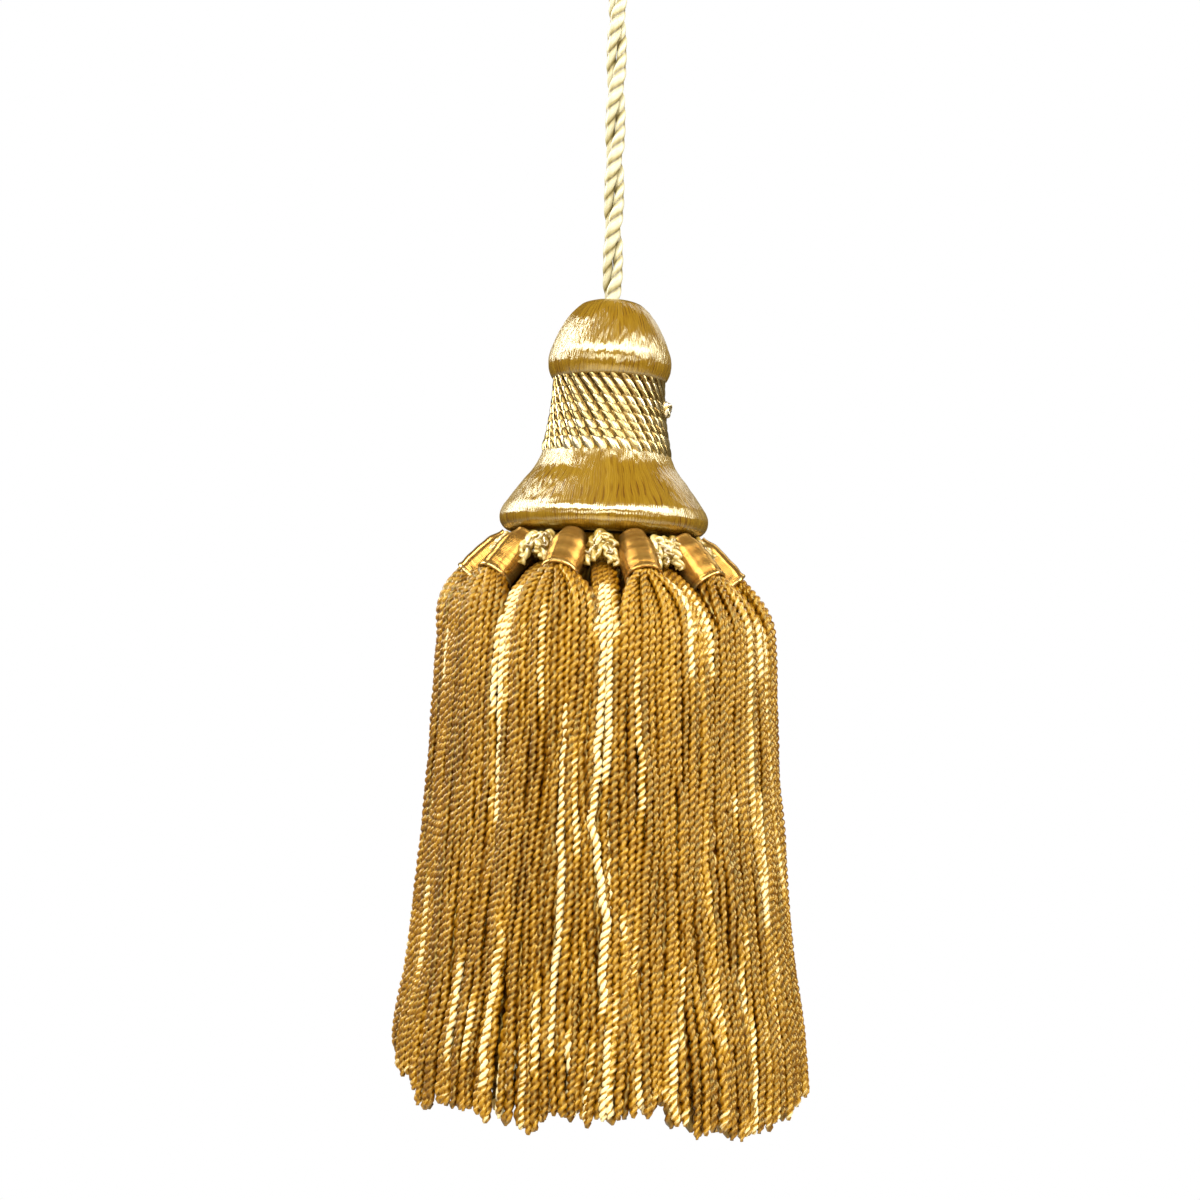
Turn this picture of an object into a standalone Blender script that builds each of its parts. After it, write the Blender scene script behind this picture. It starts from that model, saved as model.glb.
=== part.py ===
"""Hanging silk tassel on a twisted cord loop.

A floss-covered head with a corded neck carries a ring of wrapped collars. A full skirt of
twisted yarn falls from the collars and from between them, and small arches of cord, the ruff,
fill the spaces under the head's lip.

Frame: metres, +Z up, the front faces -Y. The origin is where a hook bears, inside the top of
the hanging loop. The head leans a little on its cord, and the skirt below it hangs plumb.
"""

import math

import bmesh
import bpy
from mathutils import Matrix, Vector

MM = 0.001
CLEARANCE = 0.3 * MM

# Hanging cord: one cord, doubled. Its two legs twist round each other and open in an eye.
LOOP_LENGTH = 80 * MM
EYE_HEIGHT = 22 * MM
EYE_WIDTH = 11 * MM
CORD_RADIUS = 0.88 * MM
LEG_OFFSET = 0.93 * MM
LEG_PITCH = 25.6 * MM
PLY_PITCH = 6.1 * MM
PLY_STEPS = 5
# The cord's section is waisted between its two plies: reach there, as a share of its radius.
PLY_WAIST = 0.64
# The eye's line is about this many times as long as the eye is high.
EYE_LINE = 2.3

# Head: a turned mould covered in floss, with a bore that the cord goes into.
HEAD_TILT = math.radians(1.2)
HEAD_SEGMENTS = 32
BORE_RADIUS = 2.4 * MM
BORE_DEPTH = 3 * MM
NECK_CORE = 8.2 * MM
NECK_TOP = 14.2 * MM
NECK_BOTTOM = 27.2 * MM
HEAD_BOTTOM = 42.4 * MM
# (radius, depth below the top) down the outside of the dome, in millimetres.
DOME = (
    (3.6, 0.0),
    (5.1, 0.5),
    (6.6, 1.7),
    (8.1, 3.6),
    (9.3, 5.7),
    (10.3, 8.0),
    (11.0, 10.2),
    (11.1, 11.5),
    (10.9, 12.9),
    (10.4, 14.1),
)
# The same down the bell and round its rolled lip.
BELL = (
    (11.4, 27.3),
    (12.6, 30.0),
    (15.1, 33.3),
    (17.4, 36.5),
    (18.4, 38.0),
    (18.8, 39.4),
    (18.6, 40.7),
    (17.7, 41.8),
    (16.4, 42.4),
)

# Neck wrap: turns of cord laid side by side round the neck.
WRAP_TURNS = 8
WRAP_SEGMENTS = 28
WRAP_RINGS_PER_TURN = 3
WRAP_RIDGE = 0.45 * MM
# (share of the wrap's height from its top, radius over the turns of cord), in millimetres.
WRAP = ((0, 10.2), (0.3, 10.35), (0.6, 10.8), (0.8, 11.2), (1, 11.8))
KNOT_SIZE = (2.1 * MM, 1.6 * MM, 2.9 * MM)
KNOT_ANGLE = math.radians(84)
KNOT_DEPTH = 19.4 * MM

# Collars: floss wound round each bundle of yarn where it leaves the head.
COLLAR_COUNT = 10
FIRST_COLLAR = math.radians(-18)
COLLAR_LENGTH = 10.2 * MM
COLLAR_RADIUS = 3.45 * MM
COLLAR_BORE = 2.9 * MM
COLLAR_LIP = 0.15 * MM
COLLAR_SEGMENTS = 12
COLLAR_START_RADIUS = 16.4 * MM
COLLAR_START_DEPTH = 43.7 * MM
# How far each collar leans out from the head's axis, in degrees, from the first one to the right.
COLLAR_LEAN = (45, 44, 42, 44, 43, 44, 43, 44, 45, 42)

# Ruff: an arch of cord in each space between two collars.
RUFF_RADIUS = 0.75 * MM
RUFF_HALF_WIDTH = 1.5 * MM
RUFF_HEIGHT = 5.2 * MM
RUFF_APEX_RADIUS = 18.1 * MM
RUFF_APEX_DEPTH = 43.6 * MM
# At its feet an arch stands this far out from its apex, and is wider by this share.
RUFF_FOOT_OUT = 0.9 * MM
RUFF_FOOT_SPREAD = 0.35
RUFF_POINTS = 7

# Fringe: its heading lies under the head, and a finger of it fills each collar.
HEADING_RADIUS = 13.2 * MM
HEADING_TOP = HEAD_BOTTOM + CLEARANCE
HEADING_BOTTOM = 49 * MM
HEADING_SEGMENTS = 40
# How deep in the heading a strand's root starts.
ROOT_OVERLAP = 0.8 * MM
FINGER_RADIUS = COLLAR_BORE - CLEARANCE
# A finger's line in its collar's own frame: (inward, up, share of its radius), the lengths in millimetres.
FINGER = ((4.3, 2.6, 0.42), (1.1, 0.2, 0.42), (0.0, -2.6, 0.98), (0.0, -10.8, 1.0))
FINGER_SIDES = 10
# The skirt's outer layer has a row of strands for each collar. Those at the row's two ends come
# from the heading, through the spaces beside the collar, and the others from the collar itself.
SLOTS_PER_COLLAR = 16
GAP_SLOTS = 2
# Rows of roots in a collar's mouth: (out from its axis, pull along it, inset, shortfall), in millimetres.
ROOT_ROWS = ((1.5, 22, 0.62, 0.0), (0.0, 18, 0.92, 0.7), (-1.3, 14, 1.22, 1.4))
ROOT_REACH = 2.15 * MM
# A strand from the heading: where it is rooted, how far apart, and its pull outwards and down.
GAP_ROOT_RADIUS = 12.6 * MM
GAP_ROOT_DEPTH = 47.4 * MM
GAP_ROOT_PITCH = 0.95 * MM
GAP_PULL = (26 * MM, 4 * MM)
GAP_INSET = 0.75 * MM
SHOULDER_DEPTH = 61 * MM
SHOULDER_PULL = 10 * MM
MIDDLE_DEPTH = 106 * MM
TIP_DEPTH = 139.8 * MM
# Where a strand's curve from its root to the shoulder has its points, as shares of that curve.
SHOULDER_SHARES = (0, 0.3, 0.62, 1)
# Radius at each of a strand's points, from root to tip, in millimetres.
STRAND_RADII = (0.4, 0.45, 0.54, 0.6, 0.66, 0.56)
# The layer behind: strands from the heading's underside.
SECOND_LAYER = 80
SECOND_ROOT_RADIUS = 11.9 * MM
SECOND_PULL = (8 * MM, 14 * MM)
SECOND_SHOULDER_DEPTH = 69 * MM
SECOND_SHOULDER_INSET = 3.2 * MM
SECOND_INSET = 2.2 * MM
SECOND_SHORT = 2 * MM
SECOND_RADII = (0.36, 0.5, 0.7, 0.5)
# (depth below the head's top, radius of the skirt's outside), in millimetres.
SKIRT = ((57, 30.2), (64, 30.9), (72, 31.2), (90, 32.1), (106, 33.6), (120, 35.1), (130, 36.9), (140, 37.7))
# (angle in degrees, extra length in millimetres) round the uneven hem.
HEM = (
    (-180, 0.0),
    (-110, -3.0),
    (-90, -7.0),
    (-72, -4.0),
    (-63, -2.2),
    (-57, 1.2),
    (-38, -0.5),
    (-19, 3.0),
    (-14, 0.0),
    (0, 0.5),
    (10, -0.5),
    (19, -1.8),
    (21, 2.2),
    (45, 4.6),
    (69, 2.0),
    (90, 0.0),
    (130, -1.0),
    (180, 0.0),
)
# Inner locks, ring by ring: (count, radius at the root, radius at the hem, half thickness), in millimetres.
INNER_LOCKS = ((20, 10.2, 25.5, 0.95), (13, 6.6, 17.5, 1.0), (7, 2.9, 9.0, 1.0))
LOCK_MIDDLE_DEPTH = 84 * MM
# A lock's distance from the axis at its middle, as a share of that at its tip.
LOCK_MIDDLE_OUT = 0.86
# Thickness at a lock's root, middle and tip, as shares, and how much shorter each third lock is.
LOCK_SHARES = (0.5, 1.0, 0.7)
LOCK_SHORT = (2.0 * MM, 3.5 * MM, 5.0 * MM)

HEAD_FRAME = Matrix.Translation((0, 0, -LOOP_LENGTH)) @ Matrix.Rotation(HEAD_TILT, 4, "Y")
# The skirt hangs plumb under the loop, and its depths are counted from the head's top too.
SKIRT_ORIGIN = Vector((0, 0, -LOOP_LENGTH))


def clear_scene():
    for obj in list(bpy.data.objects):
        bpy.data.objects.remove(obj)


def new_collection(name):
    collection = bpy.data.collections.new(name)
    bpy.context.scene.collection.children.link(collection)
    return collection


def silk(name, colour, roughness):
    material = bpy.data.materials.new(name)
    material.use_nodes = True
    shader = material.node_tree.nodes["Principled BSDF"]
    shader.inputs["Base Color"].default_value = (*colour, 1)
    shader.inputs["Roughness"].default_value = roughness
    shader.inputs["Metallic"].default_value = 0
    return material


def add_object(name, data, collection, material=None):
    obj = bpy.data.objects.new(name, data)
    collection.objects.link(obj)
    if material:
        data.materials.clear()
        data.materials.append(material)
    return obj


def helper(obj):
    """Marks a cutter or a guide, which isn't a piece of the tassel."""
    obj.hide_render = True
    obj.display_type = "WIRE"
    return obj


def mesh_from(bm, name):
    mesh = bpy.data.meshes.new(name)
    bm.to_mesh(mesh)
    bm.free()
    return mesh


def around(radius, angle, depth):
    """A point at an angle from the front, turning towards +X, and at a depth below the head's top."""
    return Vector((radius * math.sin(angle), -radius * math.cos(angle), -depth))


def table_value(table, at):
    """The second column of a table at a value of the first, with straight lines between rows."""
    for (a, low), (b, high) in zip(table, table[1:]):
        if at <= b:
            return low + (high - low) * max(0.0, at - a) / (b - a)
    return table[-1][1]


def turned(name, profile, segments, collection, material, closed=False):
    """A Screw of a profile of (radius, height) points, which runs down its outer side."""
    bm = bmesh.new()
    points = [bm.verts.new((radius, 0, height)) for radius, height in profile]
    for first, second in zip(points, points[1:]):
        bm.edges.new((first, second))
    if closed:
        bm.edges.new((points[-1], points[0]))
    obj = add_object(name, mesh_from(bm, name), collection, material)
    screw = obj.modifiers.new("turn", "SCREW")
    screw.steps = segments
    screw.render_steps = segments
    screw.use_merge_vertices = True
    screw.merge_threshold = 0.00001
    screw.use_smooth_shade = True
    return obj


def make_head(collection, material):
    profile = [(0, -BORE_DEPTH), (BORE_RADIUS, -BORE_DEPTH), (BORE_RADIUS, -CLEARANCE)]
    profile += [(radius * MM, -depth * MM) for radius, depth in DOME]
    profile += [(NECK_CORE, -NECK_TOP), (NECK_CORE, -NECK_BOTTOM)]
    profile += [(radius * MM, -depth * MM) for radius, depth in BELL]
    profile += [(0, -HEAD_BOTTOM)]
    head = turned("head", profile, HEAD_SEGMENTS, collection, material)
    head.matrix_world = HEAD_FRAME


def wrap_groove(share):
    """Radius at the bottom of the wrap's grooves, at a share of its height from the top."""
    return table_value(WRAP, share) * MM - WRAP_RIDGE


def make_neck_wrap(collection, material):
    """A spun ring whose outer points are raised into one ridge that winds round it."""
    top = NECK_TOP + CLEARANCE
    height = NECK_BOTTOM - NECK_TOP - 2 * CLEARANCE
    rings = WRAP_TURNS * WRAP_RINGS_PER_TURN
    bore = NECK_CORE + CLEARANCE
    bm = bmesh.new()
    section = [bm.verts.new((bore, 0, -top))]
    for ring in range(rings + 1):
        share = ring / rings
        section.append(bm.verts.new((wrap_groove(share), 0, -top - height * share)))
    section.append(bm.verts.new((bore, 0, -top - height)))
    edges = [bm.edges.new(pair) for pair in zip(section, section[1:] + section[:1])]
    bmesh.ops.spin(
        bm,
        geom=section + edges,
        axis=(0, 0, 1),
        cent=(0, 0, 0),
        steps=WRAP_SEGMENTS,
        angle=math.tau,
        use_merge=True,
    )
    for vert in bm.verts:
        radius = vert.co.xy.length
        if radius < bore + CLEARANCE:
            continue
        turns = (-vert.co.z - top) / height * WRAP_TURNS + math.atan2(vert.co.y, vert.co.x) / math.tau
        raised = radius + WRAP_RIDGE * (0.5 - 0.5 * math.cos(math.tau * turns))
        vert.co.xy *= raised / radius
    bmesh.ops.recalc_face_normals(bm, faces=bm.faces)
    wrap = add_object("neck_wrap", mesh_from(bm, "neck_wrap"), collection, material)
    wrap.data.shade_smooth()
    wrap.matrix_world = HEAD_FRAME


def make_wrap_knot(collection, material):
    """The small knot that ends the neck cord, seated on the wrap's right side."""
    bm = bmesh.new()
    bmesh.ops.create_uvsphere(bm, u_segments=8, v_segments=6, radius=0.5)
    bmesh.ops.scale(bm, vec=KNOT_SIZE, verts=bm.verts)
    knot = add_object("wrap_knot", mesh_from(bm, "wrap_knot"), collection, material)
    knot.data.shade_smooth()
    height = (KNOT_DEPTH - NECK_TOP) / (NECK_BOTTOM - NECK_TOP)
    seat = table_value(WRAP, height) * MM + KNOT_SIZE[1] / 2 + CLEARANCE
    turn = Matrix.Rotation(KNOT_ANGLE, 4, "Z")
    knot.matrix_world = HEAD_FRAME @ Matrix.Translation(around(seat, KNOT_ANGLE, KNOT_DEPTH)) @ turn


def collar_angle(index):
    return FIRST_COLLAR + math.tau * index / COLLAR_COUNT


def collar_frame(index):
    """The collar's frame in the head's: its origin is the top end's centre, and -Z runs to the mouth."""
    start = around(COLLAR_START_RADIUS, 0, COLLAR_START_DEPTH)
    lean = Matrix.Rotation(-math.radians(COLLAR_LEAN[index % COLLAR_COUNT]), 4, "X")
    return Matrix.Rotation(collar_angle(index), 4, "Z") @ Matrix.Translation(start) @ lean


def make_collars(collection, material):
    lip_height = 4 * COLLAR_LIP
    profile = (
        (COLLAR_BORE, 0),
        (COLLAR_RADIUS - COLLAR_LIP, 0),
        (COLLAR_RADIUS, -COLLAR_LENGTH / 4),
        (COLLAR_RADIUS - COLLAR_LIP, -COLLAR_LENGTH + lip_height),
        (COLLAR_RADIUS + COLLAR_LIP, -COLLAR_LENGTH + lip_height / 2),
        (COLLAR_RADIUS, -COLLAR_LENGTH),
        (COLLAR_BORE, -COLLAR_LENGTH),
    )
    for index in range(COLLAR_COUNT):
        name = f"collar_{index + 1:02d}"
        collar = turned(name, profile, COLLAR_SEGMENTS, collection, material, closed=True)
        collar.matrix_world = HEAD_FRAME @ collar_frame(index)


def tube(name, points, radius, collection, material):
    """A POLY curve object of round section with filled caps."""
    curve = bpy.data.curves.new(name, "CURVE")
    curve.dimensions = "3D"
    curve.bevel_depth = radius
    curve.bevel_resolution = 1
    curve.use_fill_caps = True
    add_spline(curve, points, [1.0] * len(points))
    return add_object(name, curve, collection, material)


def add_spline(curve, points, radii, tilts=None):
    spline = curve.splines.new("POLY")
    spline.points.add(len(points) - 1)
    for index, (point, radius) in enumerate(zip(points, radii)):
        spline.points[index].co = (*point, 1)
        spline.points[index].radius = radius
        spline.points[index].tilt = tilts[index] if tilts else 0


def make_ruff(collection, material):
    """One arch of cord in each space between two collars, its apex under the bell's lip."""
    for index in range(COLLAR_COUNT):
        middle = collar_angle(index) + math.pi / COLLAR_COUNT
        points = []
        for step in range(RUFF_POINTS):
            turn = math.pi * (step / (RUFF_POINTS - 1))
            drop = 1 - math.sin(turn)
            radius = RUFF_APEX_RADIUS + RUFF_FOOT_OUT * drop
            across = RUFF_HALF_WIDTH * math.cos(turn) * (1 + RUFF_FOOT_SPREAD * drop)
            angle = middle - across / radius
            points.append(around(radius, angle, RUFF_APEX_DEPTH + RUFF_HEIGHT * drop))
        arch = tube(f"ruff_{index + 1:02d}", points, RUFF_RADIUS, collection, material)
        arch.matrix_world = HEAD_FRAME


def hermite(start, leaving, end, arriving, share):
    """A point on the smooth curve that leaves and arrives along two given vectors."""
    s2, s3 = share**2, share**3
    return (
        (2 * s3 - 3 * s2 + 1) * start
        + (s3 - 2 * s2 + share) * leaving
        + (3 * s2 - 2 * s3) * end
        + (s3 - s2) * arriving
    )


def skirt_point(angle, inset, depth):
    """A point of the plumb part of the skirt, at a distance inside its outer surface."""
    outside = table_value(SKIRT, depth / MM) * MM
    return around(outside - inset, angle, depth) + SKIRT_ORIGIN


def hem_depth(angle):
    degrees = (math.degrees(angle) + 180) % 360 - 180
    return TIP_DEPTH + table_value(HEM, degrees) * MM


def fallen(start, leaving, angle, inset, short=0.0):
    """A strand from its root to its tip, as (points, radii): a shoulder curve, then the plumb fall."""
    shoulder = skirt_point(angle, inset, SHOULDER_DEPTH)
    arriving = Vector((0, 0, -SHOULDER_PULL))
    points = [hermite(start, leaving, shoulder, arriving, share) for share in SHOULDER_SHARES]
    points.append(skirt_point(angle, inset, MIDDLE_DEPTH))
    points.append(skirt_point(angle, inset, hem_depth(angle) - short))
    return points, STRAND_RADII


def collar_strand(index, slot, angle):
    """A strand rooted in the end of a collar's finger, in one of its rows."""
    inner = slot - GAP_SLOTS
    last = SLOTS_PER_COLLAR - 2 * GAP_SLOTS - 1
    out, pull, inset, short = (value * MM for value in ROOT_ROWS[inner % len(ROOT_ROWS)])
    across = (2 * inner / last - 1) * math.sqrt(ROOT_REACH**2 - out**2)
    frame = HEAD_FRAME @ collar_frame(index)
    start = frame @ Vector((across, -out, -COLLAR_LENGTH))
    leaving = frame.to_3x3() @ Vector((0, 0, -pull))
    return fallen(start, leaving, angle, inset, short)


def gap_strand(index, slot, angle):
    """A strand that comes from the heading between two collars."""
    if slot >= SLOTS_PER_COLLAR // 2:
        side = slot - SLOTS_PER_COLLAR + 0.5
        gap = collar_angle(index) + math.pi / COLLAR_COUNT
    else:
        side = slot + 0.5
        gap = collar_angle(index) - math.pi / COLLAR_COUNT
    root_angle = gap + side * GAP_ROOT_PITCH / GAP_ROOT_RADIUS
    start = HEAD_FRAME @ around(GAP_ROOT_RADIUS, root_angle, GAP_ROOT_DEPTH)
    outwards, down = GAP_PULL
    leaving = HEAD_FRAME.to_3x3() @ around(outwards, gap, down)
    return fallen(start, leaving, angle, GAP_INSET)


def second_strand(angle):
    """A strand of the layer behind, rooted in the heading's underside."""
    start = HEAD_FRAME @ around(SECOND_ROOT_RADIUS, angle, HEADING_BOTTOM)
    outwards, down = SECOND_PULL
    leaving = HEAD_FRAME.to_3x3() @ around(outwards, angle, down)
    shoulder = skirt_point(angle, SECOND_SHOULDER_INSET, SECOND_SHOULDER_DEPTH)
    points = [start + Vector((0, 0, ROOT_OVERLAP))]
    points.append(hermite(start, leaving, shoulder, Vector((0, 0, -down)), 0.5))
    points.append(shoulder)
    points.append(skirt_point(angle, SECOND_INSET, hem_depth(angle) - SECOND_SHORT))
    return points, SECOND_RADII


def strand_paths():
    """Every strand of three sides, as (points, radii in millimetres)."""
    pitch = math.tau / (COLLAR_COUNT * SLOTS_PER_COLLAR)
    paths = []
    for index in range(COLLAR_COUNT):
        for slot in range(SLOTS_PER_COLLAR):
            angle = collar_angle(index) + (slot + 0.5 - SLOTS_PER_COLLAR / 2) * pitch
            in_collar = GAP_SLOTS <= slot < SLOTS_PER_COLLAR - GAP_SLOTS
            make = collar_strand if in_collar else gap_strand
            paths.append(make(index, slot, angle))
    for index in range(SECOND_LAYER):
        paths.append(second_strand(FIRST_COLLAR + math.tau * (index + 0.5) / SECOND_LAYER))
    return paths


def lock_paths():
    """The thicker locks that fill the skirt, as (points, radii in millimetres)."""
    paths = []
    for count, root, hem, thickness in INNER_LOCKS:
        for index in range(count):
            angle = math.tau * (index + 0.5) / count
            top = HEAD_FRAME @ around(root * MM, angle, HEADING_BOTTOM - ROOT_OVERLAP)
            middle = around(hem * MM * LOCK_MIDDLE_OUT, angle, LOCK_MIDDLE_DEPTH) + SKIRT_ORIGIN
            short = LOCK_SHORT[index % len(LOCK_SHORT)]
            tip = around(hem * MM, angle, TIP_DEPTH - short) + SKIRT_ORIGIN
            paths.append(((top, middle, tip), [thickness * share for share in LOCK_SHARES]))
    return paths


def swept_mesh(name, outline, splines, collection):
    """A mesh of an outline swept along splines of (points, radii, tilts), closed at both ends."""
    section = bpy.data.curves.new(name + "_section", "CURVE")
    add_spline(section, outline, [1] * len(outline))
    section.splines[0].use_cyclic_u = True
    guide = helper(add_object(name + "_section", section, collection))
    curve = bpy.data.curves.new(name + "_curve", "CURVE")
    curve.dimensions = "3D"
    curve.bevel_mode = "OBJECT"
    curve.bevel_object = guide
    curve.use_fill_caps = True
    for points, radii, tilts in splines:
        add_spline(curve, points, radii, tilts)
    drawn = add_object(name + "_curve", curve, collection)
    mesh = bpy.data.meshes.new_from_object(drawn.evaluated_get(bpy.context.evaluated_depsgraph_get()))
    bpy.data.objects.remove(drawn)
    bm = bmesh.new()
    bm.from_mesh(mesh)
    bmesh.ops.remove_doubles(bm, verts=bm.verts, dist=0.000001)
    bmesh.ops.recalc_face_normals(bm, faces=bm.faces)
    bm.to_mesh(mesh)
    bm.free()
    return mesh


def yarn_prisms(name, paths, sides, collection):
    """All the paths as prisms of the same number of sides, in one helper object."""
    outline = [around(MM, math.tau * side / sides, 0) for side in range(sides)]
    splines = [(points, radii, None) for points, radii in paths]
    return helper(add_object(name, swept_mesh(name, outline, splines, collection), collection))


def cylinder(name, radius, height, segments, collection):
    """A cylinder that stands down from its own origin."""
    bm = bmesh.new()
    bmesh.ops.create_cone(bm, cap_ends=True, segments=segments, radius1=radius, radius2=radius, depth=height)
    bmesh.ops.translate(bm, vec=(0, 0, -height / 2), verts=bm.verts)
    return add_object(name, mesh_from(bm, name), collection)


def join(obj, other, name):
    union = obj.modifiers.new(name, "BOOLEAN")
    union.operation = "UNION"
    union.object = other
    union.solver = "EXACT"


def finger_paths():
    """The bundle of yarn that runs from the heading through each collar, as (points, radii in millimetres)."""
    paths = []
    for index in range(COLLAR_COUNT):
        frame = HEAD_FRAME @ collar_frame(index)
        points = [frame @ Vector((0, inward * MM, up * MM)) for inward, up, _ in FINGER]
        paths.append((points, [share * FINGER_RADIUS / MM for _, _, share in FINGER]))
    return paths


def make_fringe(collection, cutters, material):
    """The heading and its fingers, with every strand and lock fused into them by the root."""
    fringe = cylinder("fringe", HEADING_RADIUS, HEADING_BOTTOM - HEADING_TOP, HEADING_SEGMENTS, collection)
    fringe.data.materials.append(material)
    fringe.matrix_world = HEAD_FRAME @ Matrix.Translation((0, 0, -HEADING_TOP))
    join(fringe, yarn_prisms("fingers", finger_paths(), FINGER_SIDES, cutters), "fingers")
    join(fringe, yarn_prisms("strands", strand_paths(), 3, cutters), "strands")
    join(fringe, yarn_prisms("locks", lock_paths(), 4, cutters), "locks")


def cord_route():
    """The doubled cord's line from the head up one leg, round the eye and down the other leg."""
    leg_length = LOOP_LENGTH - EYE_HEIGHT
    foot = -LOOP_LENGTH - BORE_DEPTH + CLEARANCE
    step = PLY_PITCH / PLY_STEPS
    rises = round((leg_length + BORE_DEPTH) / step)
    turn_at_eye = math.tau * leg_length / LEG_PITCH

    def leg(side, height):
        angle = side * math.pi / 2 + (height + LOOP_LENGTH) / LEG_PITCH * math.tau - turn_at_eye
        return Vector((LEG_OFFSET * math.sin(angle), -LEG_OFFSET * math.cos(angle), height))

    top = -EYE_HEIGHT
    heights = [foot + (top - foot) * index / rises for index in range(rises + 1)]
    up = [leg(1, height) for height in heights]
    down = [leg(-1, height) for height in reversed(heights)]
    eye_steps = round(EYE_LINE * EYE_HEIGHT / step)
    eye = []
    for index in range(1, eye_steps):
        turn = math.pi * index / eye_steps
        opening = EYE_WIDTH / 2 * math.sin(2 * turn) * math.sqrt(math.sin(turn))
        across = LEG_OFFSET * math.cos(turn) + opening
        rise = (EYE_HEIGHT + CORD_RADIUS) * math.sin(turn)
        eye.append(Vector((across, 0, top + rise)))
    return up + eye + down


def make_hanging_cord(collection, cutters, material):
    """A two-ply cord: a waisted section swept along the route and turned once in every ply pitch."""
    sides = 6
    outline = []
    for side in range(sides):
        reach = CORD_RADIUS * (1 if side % 3 == 0 else PLY_WAIST)
        outline.append(around(reach, math.tau * side / sides, 0))
    route = cord_route()
    along = 0.0
    tilts = [0.0]
    for first, second in zip(route, route[1:]):
        along += (second - first).length
        tilts.append(-math.tau * along / PLY_PITCH)
    mesh = swept_mesh("cord", outline, [(route, [1] * len(route), tilts)], cutters)
    cord = add_object("hanging_cord", mesh, collection, material)
    cord.data.shade_smooth()


def main():
    clear_scene()
    tassel = new_collection("silk_tassel")
    cutters = new_collection("cutters")
    floss = silk("gold_floss", (0.46, 0.26, 0.05), 0.35)
    cord = silk("gold_cord", (0.62, 0.42, 0.12), 0.4)
    pale_cord = silk("pale_cord", (0.74, 0.64, 0.36), 0.4)
    yarn = silk("gold_yarn", (0.44, 0.24, 0.04), 0.45)
    make_head(tassel, floss)
    make_neck_wrap(tassel, cord)
    make_wrap_knot(tassel, cord)
    make_collars(tassel, floss)
    make_ruff(tassel, cord)
    make_fringe(tassel, cutters, yarn)
    make_hanging_cord(tassel, cutters, pale_cord)


main()
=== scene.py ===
"""Looks of the hanging silk tassel: every thread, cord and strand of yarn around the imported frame.

Frame: metres, +Z up, the front faces -Y. The origin is where a hook bears, inside the top of
the hanging loop. Depths are counted down from the head's top, and angles from the front
towards +X. Unless a name says otherwise, tables hold millimetres.
"""

import math

import bpy
import numpy as np
from mathutils import Matrix, Vector


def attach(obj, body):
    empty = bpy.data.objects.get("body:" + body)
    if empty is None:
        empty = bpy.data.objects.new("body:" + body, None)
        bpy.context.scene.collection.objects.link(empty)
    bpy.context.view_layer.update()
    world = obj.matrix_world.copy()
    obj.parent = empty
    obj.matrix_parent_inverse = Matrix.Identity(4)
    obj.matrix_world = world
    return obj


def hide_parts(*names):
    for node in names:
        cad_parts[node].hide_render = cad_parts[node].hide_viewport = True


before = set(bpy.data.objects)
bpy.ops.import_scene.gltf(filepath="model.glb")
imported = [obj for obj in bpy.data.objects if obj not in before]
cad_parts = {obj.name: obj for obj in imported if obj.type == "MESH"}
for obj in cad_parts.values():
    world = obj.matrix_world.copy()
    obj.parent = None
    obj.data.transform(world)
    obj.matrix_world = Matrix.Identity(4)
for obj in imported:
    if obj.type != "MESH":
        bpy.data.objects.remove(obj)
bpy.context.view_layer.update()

MM = 0.001
TURN = 2 * math.pi
# Seeds of the random draws. A piece's index is added to its group's.
SEEDS = {"head": 7, "collar": 107, "ruff": 207, "outer": 307, "second": 407, "lock": 507, "plug": 607}

# The camera stands level with the skirt's upper part and looks up a little.
CAMERA_PLACE = (-1.24 * MM, -396 * MM, -148.58 * MM)
CAMERA_PITCH = math.radians(2.11)
CAMERA_ROLL = math.radians(1.04)
LENS_MM = 66
SENSOR_MM = 36
CAMERA_CLIP = 0.01

# The studio, in metres: softboxes at one distance from a point at the skirt's top.
# (name, azimuth from the front towards +X, elevation, (width, height), watts, colour if not white).
LIGHT_TARGET = np.array([0, 0, -0.13])
LIGHT_DISTANCE = 0.9
LIGHTS = (
    ("key", -42, 36, (0.8, 0.25), 10.5),
    ("middle", 0, 36, (0.6, 0.25), 3.5),
    ("front_right", 42, 36, (0.75, 0.25), 7),
    ("front", 0, 8, (1, 0.2), 4.5),
    ("left", -115, 28, (0.2, 0.6), 9.5),
    ("right", 84, 26, (0.25, 0.5), 7.5),
    ("back_right", 150, 34, (0.2, 0.35), 0.8),
    ("bounce", 0, -35, (1, 0.5), 3, (1, 0.72, 0.36)),
)
AMBIENT = 0.16
AMBIENT_COLOUR = (1, 0.84, 0.42)
FLOOR_RADIUS = 1.5
FLOOR_HEIGHT = -0.78
FLOOR_SIDES = 96
FLOOR_COLOUR = (0.82, 0.81, 0.79)
FLOOR_ROUGHNESS = 0.8

# Hanging cord: the route is the frame's own.
LOOP_LENGTH = 80 * MM
EYE_HEIGHT = 22 * MM
EYE_WIDTH = 11 * MM
CORD_RADIUS = 0.88 * MM
LEG_OFFSET = 0.93 * MM
LEG_PITCH = 25.6 * MM
PLY_PITCH = 6.1 * MM
# Points in each ply pitch, of the mesh and of the coarser route. EYE_LINE is the eye's line in eye heights.
PLY_STEPS = 14
ROUTE_STEPS = 5
EYE_LINE = 2.3
LEG_FOOT = 0.3 * MM
# How much wider the legs press each other, and over what length below the eye.
LEG_FLATTENING = 1.42
LEG_PRESS_RUN = 6 * MM
CORD_SIDES = 16
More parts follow.
